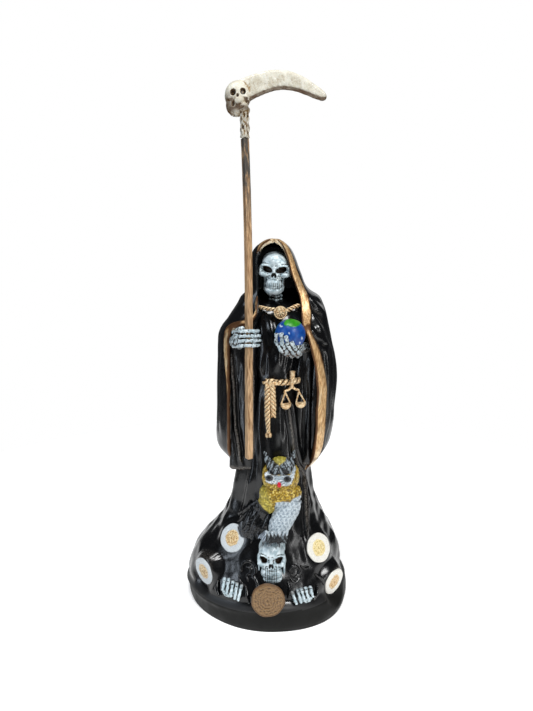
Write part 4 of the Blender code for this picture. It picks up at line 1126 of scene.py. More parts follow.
def coin(radius, thick, inner, seed, ring):
    """A coin lying in XY: a sheet wound over its side, rim and middle, in millimetres about its centre."""
    profile = np.array([(0.0, -thick), (radius - 0.4, -thick), (radius, -thick + 0.3), (radius, -0.7),
                        (radius - 0.25, -0.2), (radius - 0.8, 0.0), (inner + 0.9, -0.1), (inner + 0.2, -0.45),
                        (inner - 0.3, -0.1), (inner - 1.0, 0.0), (0.0, 0.05)])
    length = np.r_[0, np.cumsum(np.linalg.norm(np.diff(profile, axis=0), axis=1))]

    def place(across, up):
        along_it = up * length[-1]
        far = np.interp(along_it, length, profile[:, 0])
        high = np.interp(along_it, length, profile[:, 1])
        angle = across * TURN
        flat = np.stack([far * np.cos(angle), far * np.sin(angle), 0 * far], -1)
        middle = 1 - rise(far, inner - 1.2, inner - 0.4)
        petals = np.abs(np.cos(angle * 4)) ** 0.7 * rise(far, 0.8, 2.0)
        petals = petals * (1 - rise(far, inner * 0.55, inner * 0.70))
        dots = np.cos(angle * 18) * np.cos(TURN * far / 2.6)
        strokes = np.abs(np.cos(angle * 30 + 0.7 * np.sin(angle * 5))) ** 3
        strokes = strokes * np.exp(-((far - inner - 2.6) / 0.9) ** 2)
        swirl = 0.14 * np.cos(TURN * far / 2.6 + 2.2 * lumps(flat, 9, seed + 7))
        texture = (swirl if ring else 0.30 * petals) + 0.10 * dots + 0.26 * speckle(flat, 1.8)
        worn = 1 + 0.012 * np.sin(angle * 3 + seed) + 0.010 * np.sin(angle * 7 + 2 * seed)
        top = rise(high, -thick, -0.7)
        edge = (1 - middle) * top * (0.06 * lumps(flat, 4, seed + 1) + (0.0 if ring else 0.18 * strokes))
        return np.stack([flat[:, 0] * worn, flat[:, 1] * worn, high + middle * texture * top + edge], -1)

    piece = sheet(120, 70, place)
    close_up(piece, 0.01)
    return piece


# Coins: name, x and height on the robe, turn and tilt in degrees, radius, the middle's radius, and the
# colours of rim and middle.
COINS = [
    ("coin_chipped", -32.8, 69.8, -34, 29, 13.2, 7.4, "#c3c9cc", "#b48a50"),
    ("coin_left", -60.0, 38.0, -48, -5, 12.8, 7.2, "#c3c9cc", "#a98253"),
    ("coin_right", 47.1, 60.8, 35, 23, 13.4, 7.6, "#e6e4dc", "#dcc684"),
    ("coin_far_right", 62.0, 25.6, 44, -8, 12.8, 7.2, "#e6e4dc", "#c4955a"),
    ("coin_front", None, None, 0, 4, 15.0, 14.2, "#705438", "#705438"),
]


def coin_seat(x, height, turn, tilt):
    """A coin's middle and its three axes: to the right, up and out."""
    turn, tilt = math.radians(turn), math.radians(tilt)
    out = np.array((math.sin(turn) * math.cos(tilt), -math.cos(turn) * math.cos(tilt), math.sin(tilt)))
    right = np.cross((0.0, 0.0, 1.0), out)
    right /= np.linalg.norm(right)
    middle = np.array((-0.1, -82.0, 32.6)) if x is None else on_robe(x, height, 2.6)
    return middle, np.stack([right, np.cross(out, right), out])


def bed_coins(points):
    """Flattens the robe's skin under each coin, so that the coin lies on it."""
    for x, height, turn, tilt, radius in [row[1:6] for row in COINS[:4]]:
        middle, axes = coin_seat(x, height, turn, tilt)
        place = (points - middle) @ axes.T
        far = np.hypot(place[..., 0], place[..., 1])
        share = (1 - rise(far, radius - 0.5, radius + 8.0)) * (np.abs(place[..., 2]) < 14)
        points = points + axes[2] * ((-1.3 - place[..., 2]) * share)[..., None]
    return points


def make_coins(paint):
    """Four two-tone coins laid on the skirt, one of them chipped, and the brown-gold one on the lip."""
    for i, (name, x, height, turn, tilt, radius, inner, rim, gold) in enumerate(COINS):
        middle_place, axes = coin_seat(x, height, turn, tilt)
        plain = x is None
        piece = coin(radius, 3.2, inner, 60 + i, plain)
        points = read_points(piece)
        far = np.hypot(points[:, 0], points[:, 1])
        wobble = 0.35 * lumps(points, 5, 70 + i)
        middle = 1 - rise(far + wobble, inner - 0.3, inner + 0.3)
        colour = tint(np.tile(linear(rim)[:3], (len(points), 1)), middle, gold)
        dip = hollow_depth(piece, 3)
        flecks = rise(speckle(points, 1.3, (1, 1, 3)), -0.05, 0.35)
        pale, deep = ("#94774e", "#4b3319") if plain else ("#fbeec4", "#6b4c28")
        colour = tint(colour, middle * np.clip(rise(-dip, 0.0, 0.06) + flecks, 0, 1) * 0.6, pale)
        colour = tint(colour, middle * (1 - flecks) * rise(dip, 0.0, 0.08) * 0.6, deep)
        colour = tint(colour, rise(-points[:, 2], 2.7, 3.0), "#0a0b0c")
        bite = np.hypot(points[:, 0] - 11.3, points[:, 1] - 12.3) < 8.6 + wobble if i == 0 else far > 99
        colour = tint(colour, bite.astype(float), "#08090a")
        mark(piece, "paint", colour)
        mark(piece, "grainy", np.full(len(points), 0.8))
        mark(piece, "hollow", np.clip(dip, -0.1, 0.14) * (0.25 + 0.75 * middle))
        points[bite, 2] = np.minimum(points[bite, 2], -1.9)
        write_points(piece, points @ axes + middle_place)
        finish(piece, name, paint)


def make_feet(paint):
    """Five bony toes each side of the front coin, as seen against the upright plane at y -73."""
    toes = {"left_toes": ([(-39.1, 50.1), (-35.4, 49.3), (-31.6, 46.8), (-27.9, 44.8), (-23.8, 43.2)],
                          [(-41.2, 35.8), (-37.4, 32.5), (-33.7, 29.2), (-30.3, 26.7), (-27.3, 25.0)]),
            "right_toes": ([(21.3, 36.6), (26.2, 39.1), (29.8, 39.9), (33.6, 40.7), (38.0, 41.5)],
                           [(26.4, 21.7), (30.3, 23.0), (33.8, 24.4), (37.4, 25.9), (41.0, 28.6)])}
    for name, (tops, ends) in toes.items():
        forms = []
        for (x0, z0), (x1, z1) in zip(tops, ends):
            front = -math.sqrt(79.0 ** 2 - x0 ** 2)
            bend = (x0 * 0.75 + x1 * 0.25, z0 * 0.75 + z1 * 0.25)
            path = [placed(bend[0], bend[1], front + 4.6, -73),
                    placed((x0 + x1) / 2, (z0 + z1) / 2, front + 2.4, -73),
                    placed(x1 * 0.7 + x0 * 0.3, z1 * 0.7 + z0 * 0.3, front + 1.0, -73),
                    placed(x1, z1 + 1.4, front + 0.4, -73)]
            forms.append(bone(path, 1.4, 2))
            root = [placed(x0, z0 - 1.6, front + 7.5, -73),
                    placed(bend[0], bend[1] + 0.6, front + 5.4, -73)]
            forms.append(rod(root, [1.5, 1.5]))
            forms.append(ball(placed(x0, z0 - 1.4, front + 7.2, -73), (1.7, 1.7, 1.3)))
        middle = (tops[2][0] + ends[2][0]) / 2
        front = -math.sqrt(79.0 ** 2 - middle ** 2)
        forms.append(ball(placed(middle, (tops[2][1] + ends[2][1]) / 2, front + 8.5, -73), (9.0, 6.0, 8.0)))
        piece = fuse(forms, 0.45, 1)
        points = read_points(piece)
        write_points(piece, points + normals_of(piece) * (0.2 * lumps(points, 2.8, 81))[:, None])
        mark(piece, "hollow", hollow_depth(piece, 12) * 3.0 + 0.06)
        # Browner near the roots of the toes, where they meet the robe.
        high = points[:, 2] - np.interp(points[:, 0], [p[0] for p in tops], [p[1] for p in tops])
        mark(piece, "stain_and_painted_shade", rise(high, -7.0, -3.5) * 0.7)
        finish(piece, name, paint)


def shaft_middle(height):
    """The middle of the shaft's section at a height."""
    past = max(0.0, height - 290.0) / (SHAFT_TOP - 290.0)
    return np.array((-17.0 - 3.0 * past ** 2, -57.0 + (height - SHAFT_BOTTOM) * 0.088, height))


def make_shaft(paint):
    """The shaft: a square strip with softly worn arrises, leaning back and bowed a little at its top."""
    along = np.linspace(SHAFT_BOTTOM + 0.3, SHAFT_TOP - 0.3, 200)
    heights = np.concatenate([[SHAFT_BOTTOM] * 3, along, [SHAFT_TOP] * 3])
    caps = np.concatenate([[0.0, 0.5, 0.95], np.ones(200), [0.95, 0.5, 0.0]])
    angle = np.linspace(0, TURN, 49)
    square = (np.abs(np.cos(angle)) ** 24 + np.abs(np.sin(angle)) ** 24) ** (-1 / 24) * SHAFT_SIDE / 2
    way = np.stack([np.cos(angle + SHAFT_TURN), np.sin(angle + SHAFT_TURN), 0 * angle], -1)
    rows = []
    for height, cap in zip(heights, caps):
        nick = 1 + 0.012 * lumps(way * 3 + np.array((0, 0, height)), 9, 91)
        rows.append(shaft_middle(height) + way * (square * cap * nick)[:, None])
    piece = grid_piece(np.array(rows))
    close_up(piece, 0.01)
    points = read_points(piece)
    middle = np.array([shaft_middle(z) for z in points[:, 2]])
    facing = rise((middle - points)[:, 1], -1.0, 1.0)
    z = points[:, 2]
    mark(piece, "worn", rise(z, 350, 392) * facing * (0.8 + 0.2 * rise(z, 385, 400)))
    finish(piece, "shaft", paint, "scythe_shaft")


# The crescent blade's outer and inner edges, x and height, pair by pair from inside the small skull to
# the tip.
BLADE_PAIRS = [
    ((-30, 472), (-22, 459)), ((-24.5, 480.9), (-17, 463.6)), ((-15.3, 484.1), (-11, 467)),
    ((-6.9, 486.7), (-4.1, 470)), ((3.6, 488.6), (5, 473)), ((14.2, 488.4), (13, 473.8)),
    ((21.2, 486.8), (19.5, 473.3)), ((28.2, 483.9), (26, 471.8)), ((35.3, 480), (32.6, 469.5)),
    ((41.7, 475.6), (39, 467)), ((46.9, 471.8), (44.7, 465.2)), ((50.2, 468), (48.8, 465)),
]


def make_scythe_head(paint):
    """The crescent blade, the small skull it grows from, and the twisted sleeve that sits on the shaft."""
    foot = shaft_middle(SHAFT_TOP + 0.3)
    pairs = np.array(BLADE_PAIRS, float)

    def crescent(across, up):
        at = up * (len(pairs) - 1)
        edges = [[np.interp(at, np.arange(len(pairs)), pairs[:, k, axis]) for axis in (0, 1)] for k in (0, 1)]
        angle = across * TURN
        high = 0.5 + 0.5 * np.sign(np.cos(angle)) * np.abs(np.cos(angle)) ** 0.5
        ends = np.sqrt(np.clip(1 - np.abs(2 * up - 1) ** 24, 0, 1))
        high = 0.5 + (high - 0.5) * ends
        x = edges[1][0] + (edges[0][0] - edges[1][0]) * high
        z = edges[1][1] + (edges[0][1] - edges[1][1]) * high
        y = foot[1] + np.sign(np.sin(angle)) * np.abs(np.sin(angle)) ** 0.5 * 3.9 * ends
        return np.stack([x, y, z], -1)

    blade = sheet(88, 160, crescent)
    close_up(blade, 0.01)
    apply(blade, "SMOOTH", factor=0.5, iterations=3)
    y = foot[1]
    forms = [blade, ball((-25.7, y, 468.4), (11.2, 9.6, 12.2)),
             ball((-27.4, y + 0.6, 461.4), (8.6, 8.6, 9.4)),
             ball((-24.4, y - 5.6, 463.0), (4.6, 4.6, 6.4)), ball((-21.4, y - 4.6, 459.0), (4.6, 4.6, 4.0)),
             ball((-31.0, y - 5.6, 465.0), (3.0, 2.6, 2.2)), ball((-19.8, y - 5.6, 466.0), (3.0, 2.6, 2.2)),
             rod([foot, foot + np.array((0.0, 0, 10)), (-20.8, y - 1.0, 460)], [3.6, 3.8, 4.2], 3)]
    for k in range(4):
        path = []
        for i in range(16):
            angle = TURN * (i / 15 * 0.8 + k / 4)
            x = foot[0] + 0.02 * i + 2.9 * math.cos(angle)
            path.append((x, y + 2.9 * math.sin(angle), foot[2] + 0.4 + i * 1.6))
        forms.append(rod(path, [1.5] * 16, 1, 1))
    piece = fuse(forms, 0.52, 1)
    points = read_points(piece)
    hollow = dent(points, (-29.3, y - 9, 469.0), (2.7, 5, 2.8), (0, 3.0, 0)) + \
        dent(points, (-21.0, y - 9, 469.8), (2.7, 5, 2.8), (0, 3.0, 0))
    hollow += 0.7 * dent(points, (-25.4, y - 10, 466.2), (1.3, 5, 1.4), (0, 1.2, 0))
    hollow += 0.5 * dent(points, (-29.4, y - 9, 460.6), (1.9, 6, 3.0), (0, 1.8, 0), 0, 0.1)
    hollow += 0.3 * dent(points, (-18.2, y - 9, 462.4), (1.6, 6, 2.2), (0, 1.4, 0), 0, 0.1)
    hollow += 0.4 * dent(points, (-22.6, y - 10, 457.0), (3.4, 6, 0.9), (0, 0.8, 0), 0.3)
    sleeve = 1 - rise(points[:, 2], 452, 458)
    out = 0.10 * lumps(points, 9, 95) + 0.07 * lumps(points, 2.6, 96) * (1 + 4 * sleeve)
    write_points(piece, points + normals_of(piece) * out[:, None])
    points = read_points(piece)
    points[:, 2] = np.maximum(points[:, 2], foot[2])
    write_points(piece, points)
    grit = rise(speckle(points, 2.2, (1, 1, 2.2)), 0.05, 0.5) * sleeve
    mark(piece, "hollow", hollow_depth(piece, 8) * (1.2 + 1.2 * sleeve) + 0.32 * hollow + 0.45 * grit)
    normal = normals_of(piece)
    # Painted shade in brown on the underside and on the small skull's lower left and lowest part. The sleeve
    # gets a brown tone of its own, and the blade's tip is browner.
    under = 1.4 * rise(-normal[:, 2], 0.15, 0.5) * rise(points[:, 2], 455, 462)
    shade = 0.7 * rise(-points[:, 0], 27, 34) * (1 - rise(points[:, 2], 462, 474))
    shade += 0.7 * (1 - rise(points[:, 2], 456, 464)) * (1 - sleeve)
    tip = rise(points[:, 0], 42, 50) * 0.25
    mark(piece, "stain_and_painted_shade", np.clip(under + shade + tip + 0.25 * sleeve, 0, 1))
    finish(piece, "scythe_head_cast", paint, "scythe_head")


def seen(points, plane=-55.0):
    """Where the camera sees each point against an upright plane: x and height on that plane."""
    x, y, z = CAMERA
    share = (plane - y) / (points[:, 1] - y)
    return x + (points[:, 0] - x) * share, z + (points[:, 2] - z) * share


def placed(x, z, y, plane):
    """The point at depth y that the camera sees where an upright plane has this x and height."""
    share = (y - CAMERA[1]) / (plane - CAMERA[1])
    return (CAMERA[0] + (x - CAMERA[0]) * share, y, CAMERA[2] + (z - CAMERA[2]) * share)


def inside(x, z, outline, blur=0.7):
    """1 inside an outline of x and z points and 0 outside, with a soft edge."""
    path = np.array(outline, float)
    odd = np.zeros(len(x), bool)
    nearest = np.full(len(x), 1e9)
    for (x0, z0), (x1, z1) in zip(path, np.roll(path, -1, axis=0)):
        odd ^= ((z0 > z) != (z1 > z)) & (x < (x1 - x0) * (z - z0) / (z1 - z0 + 1e-9) + x0)
        square = (x1 - x0) ** 2 + (z1 - z0) ** 2
        share = np.clip(((x - x0) * (x1 - x0) + (z - z0) * (z1 - z0)) / square, 0, 1)
        nearest = np.minimum(nearest, np.hypot(x - x0 - share * (x1 - x0), z - z0 - share * (z1 - z0)))
    return rise(np.where(odd, nearest, -nearest), -blur, blur)


def tint(colour, share, code):
    """Paints a colour over others, by a share for each vertex."""
    return colour * (1 - share[:, None]) + np.array(linear(code)[:3]) * share[:, None]


def scallops(across, up, wide, tall):
    """Overlapping round scales in offset rows: 0 at a scale's root, 1 at its rounded lower edge."""
    row = np.floor(up / tall)
    fall = 1 - (up / tall - row)
    side = across / wide + 0.5 * (row % 2)
    side = 2 * (side - np.floor(side)) - 1
    reach = np.sqrt(side ** 2 * 0.8 + fall ** 2)
    return np.where(reach < 1, reach, np.clip(reach - 1, 0, 1) * 0.5)


# Colour areas of the owl, seen against the upright plane at y -55: x and height.
OWL_YELLOW = [(-3.3, 152.3), (-5.4, 138.1), (-8.0, 127.8), (-9.4, 115.4), (-4, 107), (2.1, 101.8),
              (5.5, 105), (7, 113.3), (13.3, 113.9), (20.2, 113.3), (23.1, 117), (29.9, 120.1),
              (32.4, 124.7), (30, 140.1), (26, 149.2), (22.8, 153), (13.1, 159), (3.5, 158)]
OWL_BELLY = [(7, 113.3), (13.3, 113.9), (20.2, 113.3), (23.1, 117), (31, 121), (34, 113.3), (30, 105),
             (26, 96.6), (21, 88.2), (19, 77), (12.5, 76), (4.6, 76), (-3.3, 78), (-2.4, 86.1),
             (-0.6, 92.4), (2.6, 97.7), (5.5, 105)]
OWL_FACE = [(-3.3, 141.1), (0.1, 143.2), (3.5, 139.1), (9.3, 138.6), (15.2, 139.1), (20, 139.1),
            (24.3, 148.7), (25.3, 145.2), (23, 136), (21.1, 130.9), (17.2, 128.8), (12.3, 129.3),
            (7.4, 130.9), (2.6, 130.9), (-1.8, 132.9)]
OWL_TUFTS = ([(-5.4, 163), (0.6, 163), (5.4, 152.3), (10.3, 148.2), (10.3, 139.8), (5.5, 139.1),
              (0.6, 141.1), (-1.4, 147.2), (-4, 154)],
             [(26.4, 164), (18.9, 164), (15.6, 152.3), (10.3, 148.2), (10.3, 139.6), (15.2, 139.1),
              (20, 140.6), (24.4, 149.2), (26, 156)])


def make_owl(paint):
    """The owl: tufted head, granular yellow ruff, scaly white belly and claws on the small skull's brow."""
    def at(x, z, y):
        return placed(x, z, y, -55.0)

    body = [at(19, 117, -44), at(17.4, 108, -45.5), at(13.6, 98, -49), at(9.8, 88.2, -52.5), at(8.2, 78, -56)]
    forms = [ball(at(11.4, 138.6, -46.0), (17.2, 11.4, 18.2)),
             ball(at(11.2, 122.0, -45.6), (19.6, 12.6, 13.2)),
             ball(at(0.0, 114.0, -47.4), (8.8, 8.0, 12.2), (0, 10, 0)),
             rod(body, [12.2, 12.0, 10.8, 9.6, 6.5], 4),
             ball(at(10, 130, -57.8), (1.8, 2.6, 3.0))]
    for side, far, high in ((-1, -3.0, 161.6), (1, 23.8, 162.6)):
        tuft = [at(10.3 + side * 1.5, 142, -57), at(10.3 + side * 6, 147, -56),
                at(10.3 + side * 10.4, 153, -53), at(far, high, -49)]
        forms.append(rod(tuft, [2.6, 3.8, 3.0, 0.9], 3))
        eye = at(9.35 + side * 8.25, 135.9 - side * 0.6, -56.4)
        forms.append(ball((eye[0], -53.6, eye[2]), (6.8, 4.6, 6.6)))
        forms.append(ball(eye, (3.7, 2.3, 3.2)))
    for i in range(12):
        x = -4.0 + 1.9 * i
        tip = 68.6 + 2.6 * ((i * 7) % 4) / 2
        top = 80.0 + 1.2 * ((i * 5) % 3)
        talon = [at(x + 0.9, top + 3, -60), at(x, top, -66.5), at(x - 0.9, tip, -70.4)]
        forms.append(rod(talon, [0.8, 1.4, 0.4]))
    for i in range(4):
        forms.append(rod([at(-2 - 0.8 * i, 85 - i, -58), at(-4 - 1.2 * i, 81.5 - 0.6 * i, -61.5),
                          at(-4.6 - 1.4 * i, 77.6, -62.5)], [1.4, 1.3, 0.5]))
    piece = fuse(forms, 0.52, 1)
    points = read_points(piece)
    x, z = seen(points)
    yellow, belly, face = (inside(x, z, area) for area in (OWL_YELLOW, OWL_BELLY, OWL_FACE))
    black = np.maximum(*(inside(x, z, area, 0.9) for area in OWL_TUFTS))
    fringe = rise(-points[:, 1], 61.0, 62.6) * (1 - rise(z + 1.5 * np.sin(x * 1.9), 80, 83))
    yellow *= (1 - face) * (1 - black)
    face *= 1 - black
    belly *= 1 - fringe
    near = np.where(x < 9.4, -1, 1)
    eye_x, eye_z = x - 9.35 - near * 8.25, z - 135.9 + near * 0.6
    eyes = rise(1 - np.hypot(eye_x / 3.9, eye_z / 3.3), 0.0, 0.14)
    beak = rise(1 - np.hypot((x - 10) / 2.0, (z - 130) / 3.0), 0.0, 0.15)
    spin = np.arctan2(eye_z, eye_x)
    coarse, fine = speckle(points, 2.0), speckle(points + 50, 1.15)
    strand = speckle(np.stack([(x - 10.3) * near * 0.87 + 0.5 * z, 0.2 * x + 9 * near, 0.12 * z], -1), 1.1)
    out = yellow * (0.34 * coarse + 0.26 * fine)
    scale = scallops(x - 0.25 * z + 0.8 * coarse, z + 0.8 * fine, 3.9, 3.2)
    out += belly * (0.55 * scale - 0.15 + 0.16 * fine)
    out += 0.24 * face * np.cos(spin * 15 + 2.0 * coarse) * (1 - eyes)
    out += (black + fringe) * (0.45 * strand + 0.15 * fine)
    write_points(piece, points + normals_of(piece) * out[:, None])
    dip = hollow_depth(piece, 4)
    high = rise(-dip, 0.0, 0.14)
    colour = np.tile(linear("#08090b")[:3], (len(x), 1))
    colour = tint(colour, fringe * rise(strand + 0.5 * fine, 0.35, 0.7) * 0.55, "#7c878c")
    claw = inside(x, z, [(-10.5, 86), (-1.6, 86), (-2.6, 75), (-10.5, 75)])
    colour = tint(colour, claw * (0.25 + 0.6 * high), "#aebccb")
    colour = tint(colour, belly, "#93a1ab")
    colour = tint(colour, belly * np.clip(rise(scale + 0.6 * fine, 0.2, 1.1), 0, 1) * 0.7, "#dbe5ea")
    colour = tint(colour, belly * (1 - rise(scale + 0.8 * fine, -0.2, 0.3)) * 0.15, "#3a434a")
    colour = tint(colour, yellow, "#866a10")
    colour = tint(colour, yellow * rise(coarse + fine, -0.3, 0.7) * 0.7, "#c9a52c")
    colour = tint(colour, yellow * rise(0.7 * coarse + 1.4 * fine, 0.6, 1.1) * 0.6, "#f0e28c")
    colour = tint(colour, yellow * rise(-coarse - fine, 0.5, 1.1) * 0.5, "#3d2e07")
    flank = yellow * (1 - rise(x + 0.3 * (z - 115), -1, 5)) * (1 - rise(z, 130, 134))
    colour = tint(colour, flank * 0.45, "#a9a646")
    colour = tint(colour, yellow * rise(z, 147, 151) * 0.5, "#93993a")
    colour = tint(colour, face, "#a9b7c0")
    colour = tint(colour, face * rise(coarse + high, 0.2, 0.9) * 0.8, "#f1f6f8")
    colour = tint(colour, black, "#07090b")
    colour = tint(colour, black * rise(strand + 0.6 * fine, 0.02, 0.50) * 0.8, "#98a5ad")
    colour = tint(colour, eyes, "#050607")
    glint = eyes * (0.5 + 0.5 * np.cos(spin * 7 + 1)) ** 2 * rise(np.hypot(eye_x, eye_z), 1.4, 2.2)
    colour = tint(colour, glint * 0.3, "#8d949a")
    colour = tint(colour, beak, "#c4102a")
    mark(piece, "paint", colour)
    mark(piece, "hollow", np.clip(dip, -0.2, 0.3) * (0.8 - 0.45 * belly + 0.3 * face) * (1 - beak))
    mark(piece, "grainy", (1 - eyes) * (1 - beak))
    finish(piece, "owl", paint)


def make_wing(paint):
    """The owl's wing in low black relief on the robe: long overlapping feathers, spread down to the left."""
    forms = [ball((-11.0, -44.6, 91), (11.0, 3.2, 20), (-17, 29, -14))]
    tips = [(-27.6, 90), (-27.4, 84), (-23, 79), (-21, 73.5), (-15.6, 70.4), (-10, 74), (-5, 78.6),
            (-1.4, 82.6)]
    steps = (0, 0.35, 0.7, 1)
    for i, (x, z) in enumerate(tips):
        start = (-8.6 + 1.5 * i, 108 - 1.0 * i)
        path = [on_robe(start[0] + (x - start[0]) * s, start[1] + (z - start[1]) * s, 1.4) for s in steps]
        forms.append(rod(path, [2.0, 2.7, 2.5, 1.2]))
    for i in range(6):
        start = (-6.4 + 1.6 * i, 107 - 0.6 * i)
        path = [on_robe(start[0] - 6.6 * s, start[1] - (10 + 0.8 * i) * s, 3.2) for s in (0, 0.5, 1)]
        forms.append(rod(path, [1.8, 2.3, 1.0]))
    piece = fuse(forms, 0.5, 1)
    points = read_points(piece)
    lie, far = points[:, 0] * 0.5 + points[:, 2] * 0.87, points[:, 0] * 0.87 - points[:, 2] * 0.5
    barbs = speckle(np.stack([far, 0.2 * points[:, 1], 0.16 * lie], -1), 1.3)
    write_points(piece, points + normals_of(piece) * (0.42 * barbs + 0.10 * lumps(points, 2.5, 107))[:, None])
    mark(piece, "border", np.full(len(points), -9.0))
    mark(piece, "wear_and_painted_sheen", rise(-hollow_depth(piece, 4), 0.10, 0.28) * 0.35)
    finish(piece, "owl_wing", paint)


def make_small_skull(paint):
    """The small skull under the owl, scowling, with square teeth in three rows."""
    piece = skull((3.5, -58.0, 59.0), 13.3, 20.2, yaw=math.radians(-4), detail=62, eyes=0.23, nose=-0.07,
                  angry=0.30, sockets=(0.54, 0.30, 0.20), rows=(-0.36, -0.56, -0.76), broad=1.04, jaw=1.50,
                  scowl=0.9)
    finish(piece, "small_skull", paint)


def make_lip_relief(paint):
    """Low black relief on the skirt's lip: a curl left of the small skull and a knot right of it."""
    courses = [
        ([(-24.6, 48), (-23.4, 53.6), (-18.1, 56), (-12.6, 53.4), (-11.6, 48.6), (-14.6, 44.6)], 2.2, 0.2),
        ([(-19.6, 51.6), (-16.6, 51.4), (-16.2, 47.6), (-19.2, 45.6), (-18, 41.6)], 1.7, 0.2),
        ([(-14.6, 44.6), (-11.4, 43.4), (-9.8, 40.2), (-11, 36)], 2.4, 0.2),
        ([(-27, 44), (-25, 40), (-21, 37.6)], 2.0, 0.0),
        ([(19.6, 49), (22.6, 52), (27, 50.4), (28.6, 46.4), (25.6, 43.6), (22.4, 45.4)], 1.8, 0.2),
        ([(20.4, 43.4), (23.4, 40), (27.8, 40.6), (30.4, 44)], 1.7, 0.1),
        ([(18.6, 40), (19.4, 34), (18, 29)], 2.2, 0.2),
        ([(30.6, 51), (33.6, 48.6), (37.6, 48.4)], 1.6, 0.8), ([(45, 40), (49, 36), (52, 30)], 2.4, 0.8),
        ([(-45, 49), (-49, 45.4), (-52, 40)], 2.2, 0.8), ([(-20, 37), (-18.6, 31), (-17, 26)], 2.2, 0.9),
        ([(-46.4, 36), (-47.4, 31), (-45, 26)], 2.2, 0.9), ([(45.6, 31), (45.4, 26), (42, 22.4)], 2.2, 0.9),
    ]
    pieces = []
    for course, radius, lift in courses:
        path = [on_robe(x, z, lift) for x, z in course]
        pieces.append(rod(path, [radius * 0.6] + [radius] * (len(path) - 2) + [radius * 0.6]))
        for place in (path[0], path[-1]):
            pieces.append(ball(place, (radius * 0.6,) * 3, fine=6))
    pieces.append(ball((-0.1, -72.5, 31.5), (12.0, 8.0, 12.0)))
    piece = fuse(pieces, 0.6, 4)
    points = read_points(piece)
    write_points(piece, points + normals_of(piece) * (0.15 * lumps(points, 5, 111))[:, None])
    dip = hollow_depth(piece, 5)
    mark(piece, "border", np.full(len(points), -9.0))
    mark(piece, "wear_and_painted_sheen", rise(-dip, 0.1, 0.3) * 0.25)
    finish(piece, "lip_relief", paint)


def make_drapes(paint):
    """The cloth that hangs inside each sleeve's opening: a closed pleated sheaf with a level hem."""
    for name, left, right, front, low, folds in (
            ("left_drape", -37.0, -10.0, -31.6, 133.6,
             [(3.4, 1.6, [(-33.9, 250), (-33.7, 246.7), (-31.9, 211.9), (-30.6, 177.2), (-27.8, 158.7),
                          (-26, 140)]),
              (1.2, 2.6, [(-23, 250), (-22, 200), (-20, 140)]), (1.2, 1.8, [(-14, 250), (-13.6, 140)])]),
            ("right_drape", 31.6, 42.6, -25.0, 136.0, [(1.4, 2.2, [(39, 250), (39.5, 200), (38, 140)])])):
        angle = np.linspace(0, -TURN, 121)
        across, ahead = power_circle(angle, 4.0)
        rows = []
        for share in np.linspace(0, 1, 84):
            height = low + (256 - low) * share
            close = math.sqrt(max(1 - (1 - min(share / 0.022, 1.0)) ** 2, 0.0)) if share < 0.022 else 1.0
            lean = 2.4 * math.sin(share * math.pi)
            x = (left + right) / 2 + across * (right - left) / 2 * close
            depth = -12.0 - front
            y = -12.0 - depth / 2 + ahead * depth / 2 * close + lean
            bump = fold_height(x, np.full_like(x, height), folds) * rise(-ahead, 0.2, 0.8) * close
            rows.append(np.stack([x, y - bump, np.full_like(x, height)], -1))
        top = rows[-1].copy()
        rows.append((top - top.mean(0)) * 0.0 + top.mean(0))
        piece = grid_piece(np.array(rows))
        close_up(piece, 0.02)
        points = read_points(piece)
        points += normals_of(piece) * (0.3 * lumps(points * np.array([1, 1, 0.3]), 6, 121))[:, None]
        write_points(piece, points)
        mark(piece, "border", np.full(len(points), -9.0))
        mark(piece, "wear_and_painted_sheen", 0.5 * rise(-hollow_depth(piece, 5), 0.10, 0.3))
        finish(piece, name, paint)


def make_camera():
    """The photograph's view: a little over half a metre in front, above the chest, looking down 9 degrees."""
    place = Vector(CAMERA) * MM
    bpy.ops.object.camera_add(location=place, rotation=(math.radians(90) - CAMERA_TILT, 0, 0))
    camera = bpy.context.object
    camera.name = "camera"
    camera.data.sensor_width = 36.0
    camera.data.lens = 36.0 * FOCAL_LENGTH_PX / PHOTO_HEIGHT_PX
    camera.data.clip_start = 0.02
    bpy.context.scene.camera = camera


def softbox(name, place, target, size, power, colour="#ffffff"):
    """A rectangular studio lamp turned to its target, in metres and watts."""
    bpy.ops.object.light_add(type="AREA", location=place)
    lamp = bpy.context.object
    lamp.name = name
    lamp.data.shape = "RECTANGLE"
    lamp.data.size, lamp.data.size_y = size
    lamp.data.energy = power
    lamp.data.color = linear(colour)[:3]
    lamp.rotation_euler = (Vector(target) - Vector(place)).to_track_quat("-Z", "Y").to_euler()


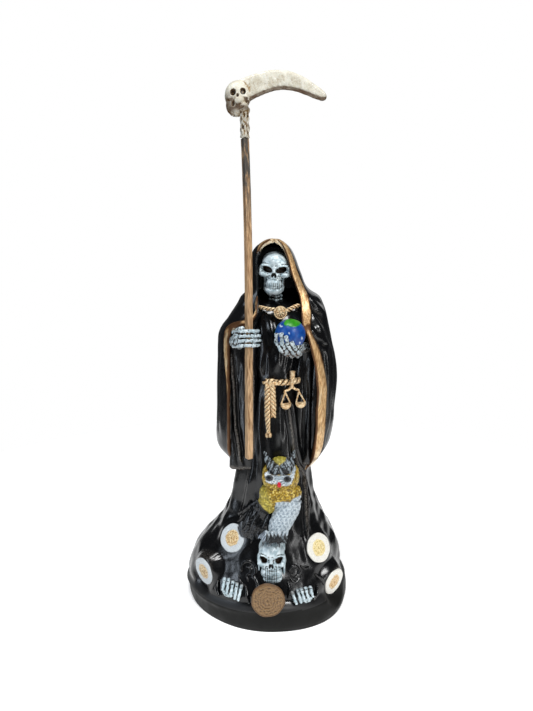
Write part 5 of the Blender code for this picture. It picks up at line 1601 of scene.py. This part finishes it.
def make_studio():
    """A pale floor and soft white lights; what the camera sees behind the object is plain white."""
    bpy.ops.mesh.primitive_circle_add(vertices=128, radius=0.62, fill_type="NGON")
    floor = bpy.context.object
    floor.name = "floor"
    material, tree, shader = new_material("matt_white_studio_floor", Roughness=0.9)
    shader.inputs["Base Color"].default_value = linear("#f6f6f5")
    shader.inputs["Emission Color"].default_value = linear("#ffffff")
    shader.inputs["Emission Strength"].default_value = 0.5
    floor.data.materials.append(material)
    softbox("key_softbox", (0.75, -1.1, 1.15), (0, 0, 0.22), (0.36, 0.5), 14)
    softbox("left_softbox", (-1.3, -0.7, 0.75), (0, 0, 0.22), (0.2, 1.0), 5.5, "#dce8f6")
    softbox("top_softbox", (-0.15, -0.35, 1.55), (0, 0, 0.2), (0.5, 0.35), 13)
    softbox("back_softbox", (0.5, 1.4, 0.9), (0, 0, 0.2), (1.2, 1.0), 3)
    softbox("left_strip", (-0.95, -0.90, 0.08), (0, 0, 0.2), (0.08, 0.9), 2.4, "#dce8f6")
    softbox("right_strip", (0.85, -0.95, 0.08), (0, 0, 0.2), (0.08, 0.9), 2.4)
    world = bpy.data.worlds.new("soft_white_studio")
    bpy.context.scene.world = world
    world.use_nodes = True
    tree = world.node_tree
    tree.nodes.clear()
    backdrop = add(tree, "ShaderNodeBackground", {"Color": linear("#ffffff"), "Strength": 1.0})
    light = add(tree, "ShaderNodeBackground", {"Color": linear("#e9edf2"), "Strength": 0.07})
    path = add(tree, "ShaderNodeLightPath")
    inputs = {0: path.outputs["Is Camera Ray"], 1: light.outputs[0], 2: backdrop.outputs[0]}
    mix = add(tree, "ShaderNodeMixShader", inputs)
    add(tree, "ShaderNodeOutputWorld", {"Surface": mix.outputs[0]})
    bpy.context.scene.view_settings.view_transform = "Standard"


make_camera()
make_studio()
enamel = black_enamel()
bone_white = bone_paint()
gold = gold_paint()
colours = relief_enamel()
make_robe([enamel, base_enamel()])
make_cloak(enamel)
make_drapes(enamel)
make_head(bone_white)
make_fist(bone_white)
make_globe(colours)
make_globe_hand(bone_white)
make_belt(gold)
make_scales(gold)
make_medallion(gold)
make_owl(colours)
make_wing(enamel)
make_small_skull(bone_white)
make_lip_relief(enamel)
make_feet(bone_white)
make_coins(colours)
make_shaft(bronzed_wood())
make_scythe_head(ivory_resin())
